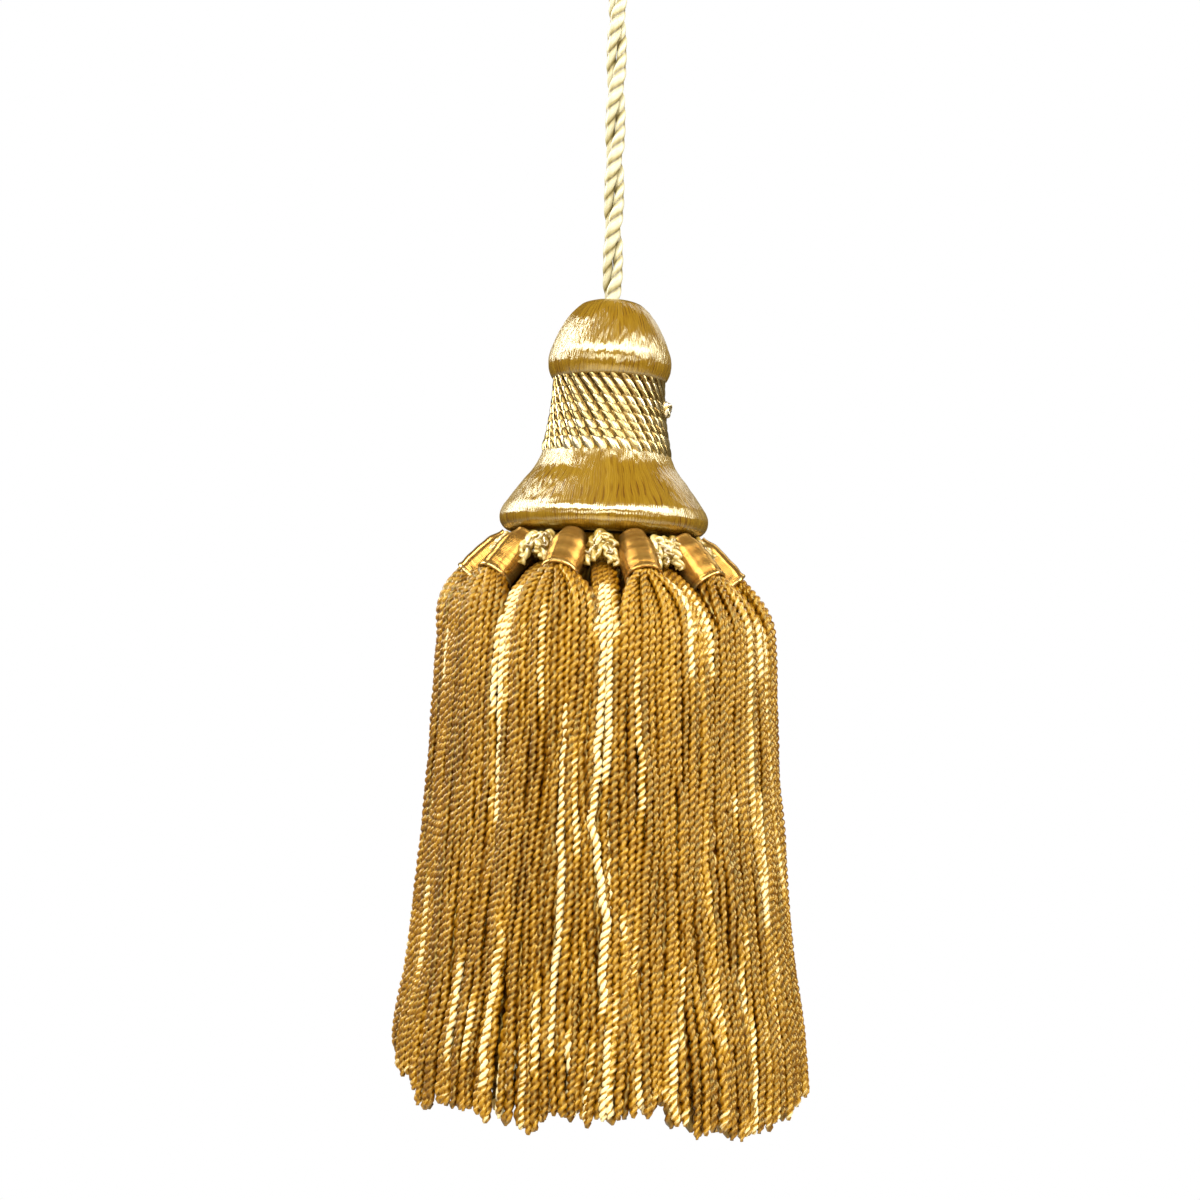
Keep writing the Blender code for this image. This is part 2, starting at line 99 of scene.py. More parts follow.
# The cord as it shows, and its section.
CORD_BODY = 0.95 * MM
CORD_WAIST = 0.8
CORD_SHOULDER = 0.93
# Painted shade in the hanging cord's grooves: how much lighter a ply's crest is than its groove.
HANGING_GROOVE_SHADE = 0.9

HEAD_TILT = math.radians(1.2)
BORE_DEPTH = 3
NECK_TOP = 14.2
NECK_BOTTOM = 27.2
HEAD_BOTTOM = 42.4
# The head's surface, as (radius, depth).
BORE = ((0, BORE_DEPTH), (2.4, BORE_DEPTH), (2.4, 0.5), (2.9, 0.05))
DOME = (
    (3.6, 0), (5.1, 0.5), (6.6, 1.7), (8.1, 3.6), (9.3, 5.7),
    (10.3, 8), (11, 10.2), (11.1, 11.5), (10.9, 12.9), (10.4, 14.1),
)
NECK = ((9.4, 14.6), (8.2, 15.2), (8.2, 26.2), (10.2, 27))
BELL = (
    (11.4, 27.3), (12.6, 30), (15.1, 33.3), (17.4, 36.5), (18.4, 38),
    (18.8, 39.4), (18.6, 40.7), (17.7, 41.8), (16.4, 42.3), (12, 42.3),
)
DOME_ROWS = 42
BELL_ROWS = 46
# Floss threads and bundles of them round the head: how many, and how high they stand.
THREADS = 260
THREAD_RIB = 0.035
BUNDLES = 83
BUNDLE_RIB = 0.03
# A thread's width in the UVs, its least and most width and height, and how far a raised one sinks.
THREAD_UV = 0.3
THREAD_WIDTH = (0.75, 1.25)
THREAD_HEIGHT = (0.35, 1)
THREAD_SINK = 0.3
RELIEF_RADII = (2.5, 6)
# Tones: the floss's, how far threads and bundles stray, and how much lighter a crest is than its groove,
# which is painted shade between the threads.
FLOSS_TONE = 0.5
THREAD_TONE = 0.08
BUNDLE_TONE = 0.03
THREAD_GROOVE_SHADE = 0.16
# Slits between bundles, painted shade where the bundles part: how dark, their waves, and where they open
# across and along.
SLIT_PAINTED_SHADE = 0.45
SLIT_RUNS = (2.1, 0.9)
SLIT_EDGE = (0.55, 1)
SLIT_OPENS = (-0.3, 1.2)
# Painted shade under the bell's lip: how much darker, and the depths where it comes on.
UNDERSIDE_PAINTED_SHADE = 0.06
UNDERSIDE_DEPTHS = (39.4, 41)
# Ripples of threads and of bundles: (height, shortest wave, longest wave).
THREAD_RIPPLE = (0.022, 1.8, 3.2)
BUNDLE_RIPPLE = (0.016, 3, 6)
# Their wander sideways: (size in radians, radians of the wave for each millimetre, waves round the head).
THREAD_WANDER = ((0.01, 0.55, 9), (0.006, 1.3, 23))
DOME_SLANT = math.radians(8)
BELL_SLANT = math.radians(3)

# Neck wrap, a three-ply cord wound round the neck: (share of the way down, radius of the outside).
WRAP = ((0, 10.2), (0.3, 10.35), (0.6, 10.8), (0.8, 11.2), (1, 11.8))
# The cord's half height, which grows towards the bell. A row shows the middle of it.
WRAP_HALF_HEIGHT = (1.2, 1.9)
# How much a row bulges, and how deep it lies from a ply's crest to a slit.
WRAP_RIDGE = 0.09
WRAP_HOLLOWS = (0, 0.02, 0.16, 0.6)
# Painted shade in the slits: how much lighter a ply's crest is than its slit.
WRAP_GROOVE_SHADE = 0.8
WRAP_TONE = 0.42
WRAP_TONE_WAVE = (0.06, 9.1)
# From row to row, and where the cord's middle starts and ends.
WRAP_ROW = 1.6
WRAP_START = 13.6
WRAP_END = 27.6
WRAP_PLIES = 3
# A stroke is one ply's stretch across a row.
WRAP_STROKES = 31
STROKE_RINGS = 4.6
# Knot: its place, and its seat from the wrap's outside. Its ring rises by the turn and closes by the radian.
KNOT_ANGLE = math.radians(84)
KNOT_DEPTH = 19.4
KNOT_SEAT = -0.4
KNOT_TURNS = 1.4
KNOT_STEPS = 50
KNOT_RING = 0.8
KNOT_HEIGHT = 1.15
KNOT_RISE = 0.5
KNOT_CLOSING = 0.05
KNOT_RADIUS = 0.95
KNOT_PLY_TURNS = 2
KNOT_TONE = 0.55

COLLARS = 10
FIRST_COLLAR = math.radians(-18)
COLLAR_LENGTH = 10.2
COLLAR_RADIUS = 3.45
COLLAR_BORE = 2.9
COLLAR_AT_RADIUS = 16.4
COLLAR_AT_DEPTH = 43.7
COLLAR_LEAN = (45, 44, 42, 44, 43, 44, 43, 44, 45, 42)
COLLAR_SIDES = 40
COLLAR_THREAD = 0.3
COLLAR_RIB = 0.035
COLLAR_RIB_SHARE = (0.4, 1)
# The winding lies a little inside the collar's radius, and narrows under the bell.
COLLAR_SINK = 0.12
COLLAR_TAPER = 0.9
COLLAR_TAPER_RUN = 4
# Its rolled edge and the waist above it: (height, how far above the mouth, half width).
COLLAR_LIP = (0.12, 0.3, 0.3)
COLLAR_WAIST = (-0.08, 1.1, 0.5)
# Slow swellings: (height, radians of the wave for each millimetre).
COLLAR_SWELLS = ((0.05, 0.9), (0.03, 2.3))
# How far the turns slant, and over what length from each end that comes on.
COLLAR_SLANT = 0.1
COLLAR_SLANT_RUNS = (1.5, 1.2)
# Its top: (radius, tone). The mouth's inside: (radius past the bore's, depth past the mouth's, tone), darker
# deeper in as painted shade.
COLLAR_TOP = (1.4, 0.3)
COLLAR_INSIDE = ((0.15, 0.12, 0.5), (0, -0.6, 0.3), (-0.1, -2.2, 0.2))
# A painted highlight on the rolled edge: its tone is raised where the edge stands higher than LIP_EDGE.
COLLAR_TONE = 0.32
COLLAR_STRAY = 0.09
LIP_PAINTED_HIGHLIGHT = 0.3
LIP_EDGE = 0.06

RUFF_RADIUS = 0.78
RUFF_PITCH = 4.2
RUFF_RING = 0.34
RUFF_STEPS = 25
RUFF_FOOT_OUT = 2.2
RUFF_FOOT_SPREAD = 0.8
# The arch between two collars: (half width, height, apex radius, apex depth).
RUFF_ARCH = (1.5, 5.2, 18.1, 43.6)
RUFF_ARCH_TONE = 0.75
RUFF_LOOPS = (4, 6, 7, 6, 7, 6, 7, 6, 7, 8)
# The least and most of a loop's shift, apex radius, apex depth, half width, height, skew and tone.
RUFF_LOOP = ((0.02, 0.11), (17.2, 18.6), (43, 44.8), (0.8, 1.4), (2.2, 4), (-0.3, 1.3), (0.45, 0.95))

# The skirt's heading, as (radius, depth), and the ribs of its yarns.
HEADING_TOP = 42.7
HEADING_BOTTOM = 49
HEADING_RADIUS = 13.2
HEADING = ((12.6, HEADING_TOP), (HEADING_RADIUS, 44.5), (12.9, 47.4), (11.8, HEADING_BOTTOM))
HEADING_ROWS = 14
HEADING_SIDES = 240
HEADING_RIB = 0.12
HEADING_TONE = 0.4
# Painted shade between the heading's ribs: how much lighter a rib's crest is than its groove.
HEADING_GROOVE_SHADE = 0.3
# A plug of yarn into each collar, in the collar's frame, and its radius along it.
PLUG_LINE = ((0, 4.3, 2.6), (0, 1.1, 0.2), (0, 0, -2.6), (0, 0, -9.2))
PLUG_RADII = ((0, 0.3, 0.5, 1), (1.1, 1.1, 2.5, 2.6))
PLUG_STEPS = 22
PLUG_SIDES = 12
# The plugs' low tone is painted shade inside the collars.
PLUG_SHADED_TONE = 0.2
COLLAR_SLOTS = 16
GAP_SLOTS = 2
# Rows of roots in a collar's mouth: (out from its axis, pull along it, inset, shortfall).
ROOT_ROWS = ((2.1, 21, 0.62, 0), (1.45, 20, 0.78, 0.5), (0.8, 18, 0.95, 1))
LOW_ROOT_ROWS = ((0.1, 16, 1.6, 0), (-0.8, 14, 1.8, 0.3), (-1.8, 12, 2, 0.6))
ROOT_REACH = 2.5
ROOT_INSIDE = 1.8
ROOT_FAN = 4.5
GAP_ROOT_RADIUS = 12.6
GAP_ROOT_DEPTH = 47.4
GAP_ROOT_PITCH = 0.85
# How hard a strand there is pulled outwards and down. The deeper it lies, the less it is pulled out.
GAP_PULL = (26, 4)
GAP_PULL_LOSS = 3
GAP_INSET = 0.75
OVER_STEPS = 26
FALL_STEPS = 72
SHOULDER = 61
SHOULDER_PULL = 10
TIP_DEPTH = 139.8
TIP_SPREAD = 0.9
# Layers of strands: (shift in slots, rows of roots, inset in a gap, tone), then the yarn's (radius, distance
# between the mesh's sections, bead). A bead is half a turn of the two plies.
OUTER_LAYER = ((0, ROOT_ROWS, GAP_INSET, 0.42), (0.76, 0.44, 1.32))
# The second layer's lower tone is painted shade under the outer strands.
SECOND_LAYER = ((0.5, LOW_ROOT_ROWS, GAP_INSET + 1.1, 0.3), (0.9, 0.78, 2.1))
# (depth, radius of the skirt's outside).
SKIRT = ((57, 30.2), (64, 30.9), (72, 31.2), (90, 32.1), (106, 33.6), (120, 35.1), (130, 36.9), (140, 37.7))
# (angle in degrees, extra length) round the uneven hem.
HEM = (
    (-180, 0), (-110, -3), (-90, -7), (-72, -4), (-63, -2.2), (-57, 1.2),
    (-38, -0.5), (-19, 3), (-14, 0), (0, 0.5), (10, -0.5), (19, -1.8),
    (21, 2.2), (45, 4.6), (69, 2), (90, 0), (130, -1), (180, 0),
)
# Yarn: the least and most of its beads and thickness as shares, and how the thickness changes along it.
# Painted shade in the yarn's grooves: how much lighter a ply's crest is than its foot.
YARN_GROOVE_SHADE = 0.5
BEAD_SPREAD = (0.9, 1.14)
YARN_SPREAD = (0.9, 1.08)
YARN_SWELL = (0.06, 5.3)
ROOT_WIDTH = 0.82
ROOT_WIDTH_RUN = 8
TIP_LOSS = 0.6
TIP_TAPER = 1.2
# Its twist gains and loses SLACK radians in waves.
SLACK = 0.8
SLACK_WAVE = (8, 16)
YARN_LEAN = np.array([0, 0, 0.4])
# Its kinks from side to side: the least and most of the size and of the wave, and where they come on.
KINK = (0.06, 0.2)
KINK_WAVE = (3.4, 7.5)
KINK_STARTS = (4, 16)
# The cords of knot and ruff: how much lighter a crest is (painted shade in the grooves), corners, and each
# (waist, shoulder).
CORD_GROOVE_SHADE = 0.35
CORD_CORNERS = 8
KNOT_SECTION = (0.7, 0.9)
RUFF_SECTION = (0.5, 0.82)
# The reach of a yarn's six corners: two on each ply, and a waist on each side between the plies.
YARN_REACH = np.array([1, 0.54, 1, 1, 0.54, 1.0])
# How far out the middle of a ply's side lies, as a share of the yarn's radius.
PLY_MIDDLE = 0.8
# Pale stretches of the outer strands in front, partly paler yarn and partly painted highlight: (collar,
# strand, from, to, how much paler).
PALE_AND_HIGHLIGHT_STRETCHES = (
    (8, 15, 11, 30, 0.5), (9, 0, 11, 26, 0.5), (9, 14, 12, 34, 0.75), (9, 15, 12, 54, 0.75),
    (0, 0, 12, 36, 0.6), (0, 14, 13, 24, 0.45), (0, 15, 12, 85, 0.75), (1, 0, 12, 46, 0.75),
    (1, 1, 12, 24, 0.45), (1, 15, 11, 26, 0.5), (2, 0, 10, 30, 0.6), (2, 15, 11, 30, 0.6),
    (1, 12, 4, 21, 0.6), (1, 13, 4, 18, 0.5), (2, 8, 5, 64, 0.5), (2, 11, 12, 22, 0.45),
    (2, 9, 40, 85, 0.6), (2, 10, 40, 62, 0.55), (0, 10, 25, 84, 0.6), (0, 12, 33, 53, 0.55),
    (0, 12, 67, 72, 0.45), (1, 15, 49, 93, 0.5), (9, 2, 57, 74, 0.55), (9, 12, 69, 87, 0.55),
    (9, 13, 60, 64, 0.4), (9, 15, 83, 94, 0.5), (1, 2, 61, 66, 0.5), (1, 10, 68, 84, 0.5),
    (2, 4, 40, 45, 0.4), (2, 3, 67, 79, 0.5),
)
FRONT_COLLARS = (8, 9, 0, 1, 2)
# A strand at the edge of a gap that has none there gets one of its own, paler yarn and painted highlight too:
# from, to, how much paler.
GAP_PALE_AND_HIGHLIGHT = ((11, 15), (35, 70), (0.4, 0.6))
# The skirt's strands sway together: (waves round it, length of a wave down it, size).
SWAYS = ((7, 95, 0.5), (13, -60, 0.3), (21, 44, 0.18), (34, -31, 0.1))
SWAY_PHASE = 1.7
SWAY_RUN = 22
# They gather towards the hem, between these depths: (waves round it, size).
HEM_CLUMPS = ((29, 0.12), (43, 0.08), (17, 0.2))
CLUMP_PHASE = 2.3
CLUMP_DEPTHS = (112, 140)
# How much deeper the skirt lies between bundles.
VALLEY = 0.9
VALLEY_DEPTHS = (70, 112)
# A strand's own wander sideways and outwards: (size, least and most millimetres for one radian).
LOOSE_RUN = 25
WANDER = ((0.22, 9, 14), (0.14, 3.5, 5), (0.1, 1.1, 1.9))
LIFTS = ((0.25, 8, 13), (0.12, 3, 5))
# Stray strands: how often, how much more one wanders, and how much further out it lies.
STRAY_CHANCE = 0.07
STRAY = 2.2
STRAY_LIFT = 0.25
TIP_SWING = 0.22
TIP_SWING_DEPTHS = (80, 140)
STRAND_INSET = 0.25
# How far a strand's tone strays from its layer's, and the change for one from the heading, a little darker as
# painted shade between the collars.
STRAND_TONE = 0.1
GAP_SHADED_TONE = -0.05
# A strand darkens below the shoulder and partly recovers: painted shade on the skirt.
PAINTED_SHADE = 0.12
PAINTED_SHADE_RUN = (12, 35)
PAINTED_SHADE_BACK = 0.4
PAINTED_SHADE_BACK_RUN = (60, 85)
# Soft variation: (size, millimetres along it for one radian).
TONE_WAVES = ((0.06, 9), (0.05, 3.1))
# Pale patches, partly paler yarn and partly painted highlight: the chance of one more, the chance that it may
# start anywhere, then the least and most of its start in each case, its length and how pale it is, and over
# what length it fades.
PATCH_CHANCE = 0.42
PATCH_ANYWHERE = 0.4
PATCH_START = (5, 95)
PATCH_LOW_START = (55, 90)
PATCH_LENGTH = (5, 32)
PATCH_PALE_HIGHLIGHT = (0.12, 0.5)
PATCH_FADE = 3
# The point's change of tone, and how far from the tip that starts and is full.
POINT_LIFT = (-0.1, 0.4)
POINT_RUN = (5, 1)
# Inner locks, ring by ring: (count, radius at the root, radius at the hem, half thickness).
INNER_LOCKS = ((84, 10.6, 31.9, 1.5), (24, 6.6, 22, 1.4), (9, 2.9, 10, 1.4))
LOCK_STEPS = 80
LOCK_RING = 1.6
LOCK_BEAD = 3.9
# The locks' low tone is painted shade inside the skirt.
LOCK_SHADED_TONE = 0.25
LOCK_ROOT_DEPTH = 48.2
LOCK_MIDDLE_DEPTH = 84
LOCK_MIDDLE_OUT = 0.86
LOCK_SHORT = (0, 0.5, 1)
LOCK_TIP_SPREAD = 0.5
LOCK_TIP_TURN = 0.02

# How far the fibres change a silk's tone, and their cells for each millimetre across a thread.
FIBRE_TONE = 0.5
FIBRE_CELLS = 6
FIBRE_DETAIL = 3
# The same, across and along, for the patches that make a yarn's tone uneven.
UNEVEN_CELLS = (0.9, 0.6)
UNEVEN_DETAIL = 2
UNEVEN_SEED = 5
# Each silk: its colours as (tone, red, green, blue), and the rest of what thread_silk takes.
SILKS = {
    "floss": dict(
        stops=((0, 0.075, 0.022, 0.0003), (0.5, 0.18, 0.096, 0.004), (1, 0.28, 0.17, 0.016)),
        gloss=(0.2, 0.95, 2.3), tint=(1, 0.98, 0.66), fibre=0.35, bump=0.006, thread=0.025,
    ),
    "wound": dict(
        stops=((0, 0.22, 0.075, 0.004), (0.5, 0.44, 0.25, 0.055), (1, 0.8, 0.66, 0.36)),
        gloss=(0.25, 0.88, 1.6), tint=(1, 0.9, 0.6), fibre=0.35, bump=0.006, thread=0.02, lustre=0.8,
    ),
    "yarn": dict(
        stops=((0, 0.045, 0.01, 0.0001), (0.4, 0.16, 0.058, 0.0005),
               (0.8, 0.34, 0.165, 0.008), (1, 0.72, 0.62, 0.34)),
        gloss=(0.34, 0.8, 1.9), tint=(1, 0.82, 0.25), fibre=0.6, bump=0.02, uneven=0.9,
    ),
    "cord": dict(
        stops=((0, 0.03, 0.011, 0.0004), (0.5, 0.13, 0.07, 0.004),
               (0.75, 0.34, 0.22, 0.04), (1, 0.62, 0.51, 0.22)),
        gloss=(0.25, 0.5, 2.15), tint=(1, 0.93, 0.7), fibre=0.6, bump=0.01,
    ),
    "neck": dict(
        stops=((0, 0.03, 0.012, 0.0006), (0.35, 0.12, 0.065, 0.01),
               (0.55, 0.42, 0.32, 0.13), (0.75, 1, 0.94, 0.76)),
        gloss=(0.26, 0.9, 1.6), tint=(1, 0.94, 0.74), fibre=0.6, bump=0.006, lustre=0.9,
    ),
    "pale_cord": dict(
        stops=((0, 0.062, 0.0434, 0.00744), (0.35, 0.2604, 0.2108, 0.0806),
               (0.7, 0.4092, 0.372, 0.2232), (1, 0.4712, 0.4402, 0.2976)),
        gloss=(0.4, 0.5, 1.7), tint=(1, 0.95, 0.8), fibre=0.6, bump=0.02,
    ),
}

HEAD_FRAME = np.array(Matrix.Translation((0, 0, -LOOP_LENGTH)) @ Matrix.Rotation(HEAD_TILT, 4, "Y"))
SKIRT_FRAME = np.array(Matrix.Translation((0, 0, -LOOP_LENGTH)))


# ---- shapes


def around(radius, angle, depth):
    """Points at an angle from the front and a depth below the head's top."""
    radius, angle, depth = np.broadcast_arrays(radius, angle, depth)
    return np.stack([radius * np.sin(angle), -radius * np.cos(angle), -depth], axis=-1).astype(float)


def placed(matrix, points_mm):
    """Points in millimetres of a local frame, as metres in the row frame."""
    return points_mm * MM @ matrix[:3, :3].T + matrix[:3, 3]


def draws(group, index=0):
    """The random draws of one piece."""
    return np.random.default_rng(SEEDS[group] + index)


def circle(count):
    """Angles of so many corners round a turn."""
    return TURN * np.arange(count) / count


def added(name, data):
    """A new object in the scene."""
    made = bpy.data.objects.new(name, data)
    bpy.context.scene.collection.objects.link(made)
    return made


def unit(vectors):
    return vectors / np.maximum(np.linalg.norm(vectors, axis=-1, keepdims=True), 1e-12)


def square_to(tangent, reference):
    """The reference's direction square to each tangent."""
    return unit(reference - (reference * tangent).sum(axis=1, keepdims=True) * tangent)


def outward(line):
    """The direction out from the upright axis at each point of a line."""
    return unit(line * [1, 1, 0])


def run_along(points):
    """How far along a line each of its points is."""
    return np.concatenate([[0], np.cumsum(np.linalg.norm(np.diff(points, axis=0), axis=1))])


def hermite(start, leaving, end, arriving, share):
    """The smooth curve from start to end with given slopes, at shares of the way."""
    s2, s3 = share**2, share**3
    first = (2 * s3 - 3 * s2 + 1) * start + (s3 - 2 * s2 + share) * leaving
    return first + (3 * s2 - 2 * s3) * end + (s3 - s2) * arriving


def smooth_through(steps, values, at):
    """Values on a smooth curve through the given ones, which stand at these steps."""
    slopes = np.gradient(values, steps, axis=0)
    index = np.clip(np.searchsorted(steps, at, side="right") - 1, 0, len(steps) - 2)
    span = steps[index + 1] - steps[index]
    share = (at - steps[index]) / span
    if values.ndim > 1:
        span, share = span[:, None], share[:, None]
    return hermite(values[index], span * slopes[index], values[index + 1], span * slopes[index + 1], share)


def smooth_line(points, count):
    """Points spread evenly along a smooth curve through the given ones."""
    points = np.asarray(points, float)
    steps = run_along(points)
    return even(smooth_through(steps, points, np.linspace(0, steps[-1], max(count * 4, 64))), count)


def even(points, count):
    """The same line with a given number of points, evenly spaced."""
    along = run_along(points)
    at = np.linspace(0, along[-1], count)
    return np.stack([np.interp(at, along, points[:, axis]) for axis in range(points.shape[1])], axis=1)


def length_of(points):
    return float(run_along(points)[-1])


def smooth_table(table, at):
    """A table's second column at values of its first, on a smooth curve."""
    steps, values = np.array(table, float).T
    return smooth_through(steps, values, np.clip(at, steps[0], steps[-1]))


def ramp(low, high, at):
    """0 up to low, 1 from high on, and smooth between."""
    share = np.clip((at - low) / (high - low), 0, 1)
    return share * share * (3 - 2 * share)


class Sheet:
    """Collects grids of points, with their UVs and tones, and makes them one mesh."""

    def __init__(self):
        self.points, self.faces, self.uvs, self.tones = [], [], [], []
        self.count = 0

    def grid(self, points, uv, tone, caps=True, turn=0):
        """points: rows x columns x 3 in metres. uv: U and V for rows x (columns + 1). tone: rows x columns.

        turn is 1 where the columns wind forwards, so that each quad is split along its shorter diagonal.
        """
        uv = np.stack(np.broadcast_arrays(*uv), axis=-1)
        rows, columns = points.shape[:2]
        index = np.arange(rows * columns).reshape(rows, columns) + self.count
        here = np.arange(columns)
        after = (here + 1) % columns
        low, high = index[:-1], index[1:]
        quads = np.stack([low[:, here], low[:, after], high[:, after], high[:, here]], axis=-1)
        self.faces.append((np.roll(quads, -turn, axis=-1).reshape(-1, 4), 4))
        corner = np.stack([uv[:-1, here], uv[:-1, here + 1], uv[1:, here + 1], uv[1:, here]], axis=2)
        self.uvs.append(np.roll(corner, -turn, axis=2).reshape(-1, 2))
        if caps:
            self.faces.append((index[0, ::-1][None], columns))
            self.faces.append((index[-1][None], columns))
            self.uvs.append(uv[0, :columns][::-1])
            self.uvs.append(uv[-1, :columns])
        self.points.append(points.reshape(-1, 3))
        self.tones.append(np.broadcast_to(tone, (rows, columns)).reshape(-1))
        self.count += rows * columns

    def build(self, name, material):
        mesh = bpy.data.meshes.new(name)
        points = np.concatenate(self.points).astype(np.float32)
        loops = np.concatenate([faces.reshape(-1) for faces, _ in self.faces])
        totals = np.concatenate([np.full(len(faces), sides) for faces, sides in self.faces])
        mesh.vertices.add(len(points))
        mesh.vertices.foreach_set("co", points.reshape(-1))
        mesh.loops.add(len(loops))
        mesh.loops.foreach_set("vertex_index", loops.astype(np.int32))
        mesh.polygons.add(len(totals))
        mesh.polygons.foreach_set("loop_start", (np.cumsum(totals) - totals).astype(np.int32))
        mesh.polygons.foreach_set("loop_total", totals.astype(np.int32))
        layer = mesh.uv_layers.new(name="UVMap")
        layer.data.foreach_set("uv", np.concatenate(self.uvs).astype(np.float32).reshape(-1))
        tone = mesh.attributes.new("tone", "FLOAT", "POINT")
        tone.data.foreach_set("value", np.concatenate(self.tones).astype(np.float32))
        mesh.update(calc_edges=True)
        mesh.validate()
        mesh.shade_smooth()
        mesh.materials.append(material)
        return added(name, mesh)


def ply_outline(sides, waist, shoulder):
    """A two-ply cord's section: (angles, reaches). The reach is 1 on each crest and the shoulder halfway."""
    angles = circle(sides)
    return angles, np.interp(np.abs(np.cos(angles)), (0, math.sqrt(0.5), 1), (waist, shoulder, 1))


def sweep(sheet, line, radius, twist, reference, outline, tone, groove_shade=0.0, press=None, lean=True):
    """Sweeps a section along a line (metres). radius and twist are given for each of its points.

    The UVs lean so that U runs across the plies, or across the line where lean is off. The groove shade
    argument is how much lighter a ply's crest is than its foot: painted shade in the grooves between plies.
    press is how thick a pressed section is left along the reference: its hollows are then cut along the
    reference only.
    """
    tangent = unit(np.gradient(line, axis=0))
    normal = square_to(tangent, reference)
    side = np.cross(tangent, normal)
    angles, reach = outline
    turned = angles[None, :] + twist[:, None]
    reach = np.atleast_2d(reach)
    x = np.cos(turned) * reach * radius[:, None]
    y = np.sin(turned) * (reach if press is None else 1) * radius[:, None]
    if press is not None:
        x *= press[:, None]
    points = line[:, None, :] + x[..., None] * normal[:, None, :] + y[..., None] * side[:, None, :]
    along = run_along(line) / MM
    girth = TURN * float(np.median(radius)) / MM
    climb = girth / TURN * PLY_MIDDLE * (twist[-1] - twist[0]) / along[-1]
    u = np.linspace(0, girth, len(angles) + 1)[None, :]
    shear = climb / (1 + climb**2) if lean else 0.0
    # Painted shade: a ply's crest is lighter and the groove between plies darker.
    crest = (reach - reach.mean()) / max(float(np.ptp(reach)), 1e-6)
    uv = (u, along[:, None] + u * shear)
    sheet.grid(points, uv, tone[:, None] + groove_shade * crest, turn=int(climb > 0))


# ---- materials


class Nodes:
    """The nodes of a material or world, with short calls to add and link them."""

    def __init__(self, owner):
        owner.use_nodes = True
        self.tree = owner.node_tree

    def fill(self, node, sockets):
        """Gives a node's sockets, by name or number, a value or a link."""
        for key, value in sockets.items():
            if isinstance(value, bpy.types.NodeSocket):
                self.tree.links.new(value, node.inputs[key])
            else:
                node.inputs[key].default_value = value

    def add(self, kind, sockets=(), **settings):
        """A new node with its settings and sockets."""
        made = self.tree.nodes.new("ShaderNode" + kind)
        for key, value in settings.items():
            setattr(made, key, value)
        self.fill(made, dict(sockets))
        return made

    def math(self, operation, *values):
        return self.add("Math", enumerate(values), operation=operation).outputs[0]

    def uv(self):
        return self.add("UVMap", uv_map="UVMap").outputs["UV"]

    def uv_noise(self, across, along, detail, seed=0.0):
        """Noise on the UVs, with so many cells for each millimetre across and along the threads."""
        cells = {0: self.uv(), 1: (across, along, 1), 2: (0, 0, seed)}
        place = self.add("VectorMath", cells, operation="MULTIPLY_ADD").outputs[0]
        noise = {"Vector": place, "Scale": 1.0, "Detail": detail, "Roughness": 0.5}
        return self.add("TexNoise", noise).outputs["Fac"]


def thread_silk(name, stops, gloss, tint, fibre, bump, thread=0.0, uneven=0.0, lustre=0.0):
    """Silk whose colour follows each thread's tone, with fine fibres raised along it.

    gloss is its roughness, anisotropy and IOR: tight along a thread and wide across it. With lustre it takes
    the thread's colour. fibre is the fibres' cells for each millimetre along it, and bump their height.
    thread is the height to which each thread of floss is rounded, and uneven how far patches change the tone.
    """
    material = bpy.data.materials.new(name)
    nodes = Nodes(material)
    fibres = nodes.uv_noise(FIBRE_CELLS, fibre, FIBRE_DETAIL)
    tone = nodes.math("MULTIPLY_ADD", fibres, FIBRE_TONE, -FIBRE_TONE / 2)
    tone = nodes.math("ADD", tone, nodes.add("Attribute", attribute_name="tone").outputs["Fac"])
    if uneven:
        patches = nodes.uv_noise(*UNEVEN_CELLS, UNEVEN_DETAIL, UNEVEN_SEED)
        tone = nodes.math("ADD", tone, nodes.math("MULTIPLY_ADD", patches, uneven, -uneven / 2))
    colours = nodes.add("ValToRGB", {"Fac": tone})
    elements = colours.color_ramp.elements
    while len(elements) < len(stops):
        elements.new(0.5)
    for element, (place, *colour) in zip(elements, stops):
        element.position = place
        element.color = (*colour, 1)
    height = nodes.math("MULTIPLY", fibres, bump)
    if thread:
        across = nodes.add("SeparateXYZ", {0: nodes.uv()}).outputs["X"]
        wave = nodes.math("COSINE", nodes.math("MULTIPLY", across, TURN / THREAD_UV))
        height = nodes.math("ADD", height, nodes.math("MULTIPLY", wave, -thread / 2))
    raised = nodes.add("Bump", {"Height": height, "Strength": 1.0, "Distance": MM})
    tangent = nodes.add("Tangent", direction_type="UV_MAP", uv_map="UVMap")
    look = {
        "Base Color": colours.outputs["Color"],
        "Metallic": lustre,
        "Specular Tint": (*tint, 1),
        "Normal": raised.outputs["Normal"],
        "Tangent": tangent.outputs[0],
    }
    look.update(zip(("Roughness", "Anisotropic", "IOR"), gloss))
    nodes.fill(nodes.tree.nodes["Principled BSDF"], look)
    return material


# ---- pieces


def settle(piece, slot, *nodes):
    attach(piece, "root")
    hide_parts(*nodes)


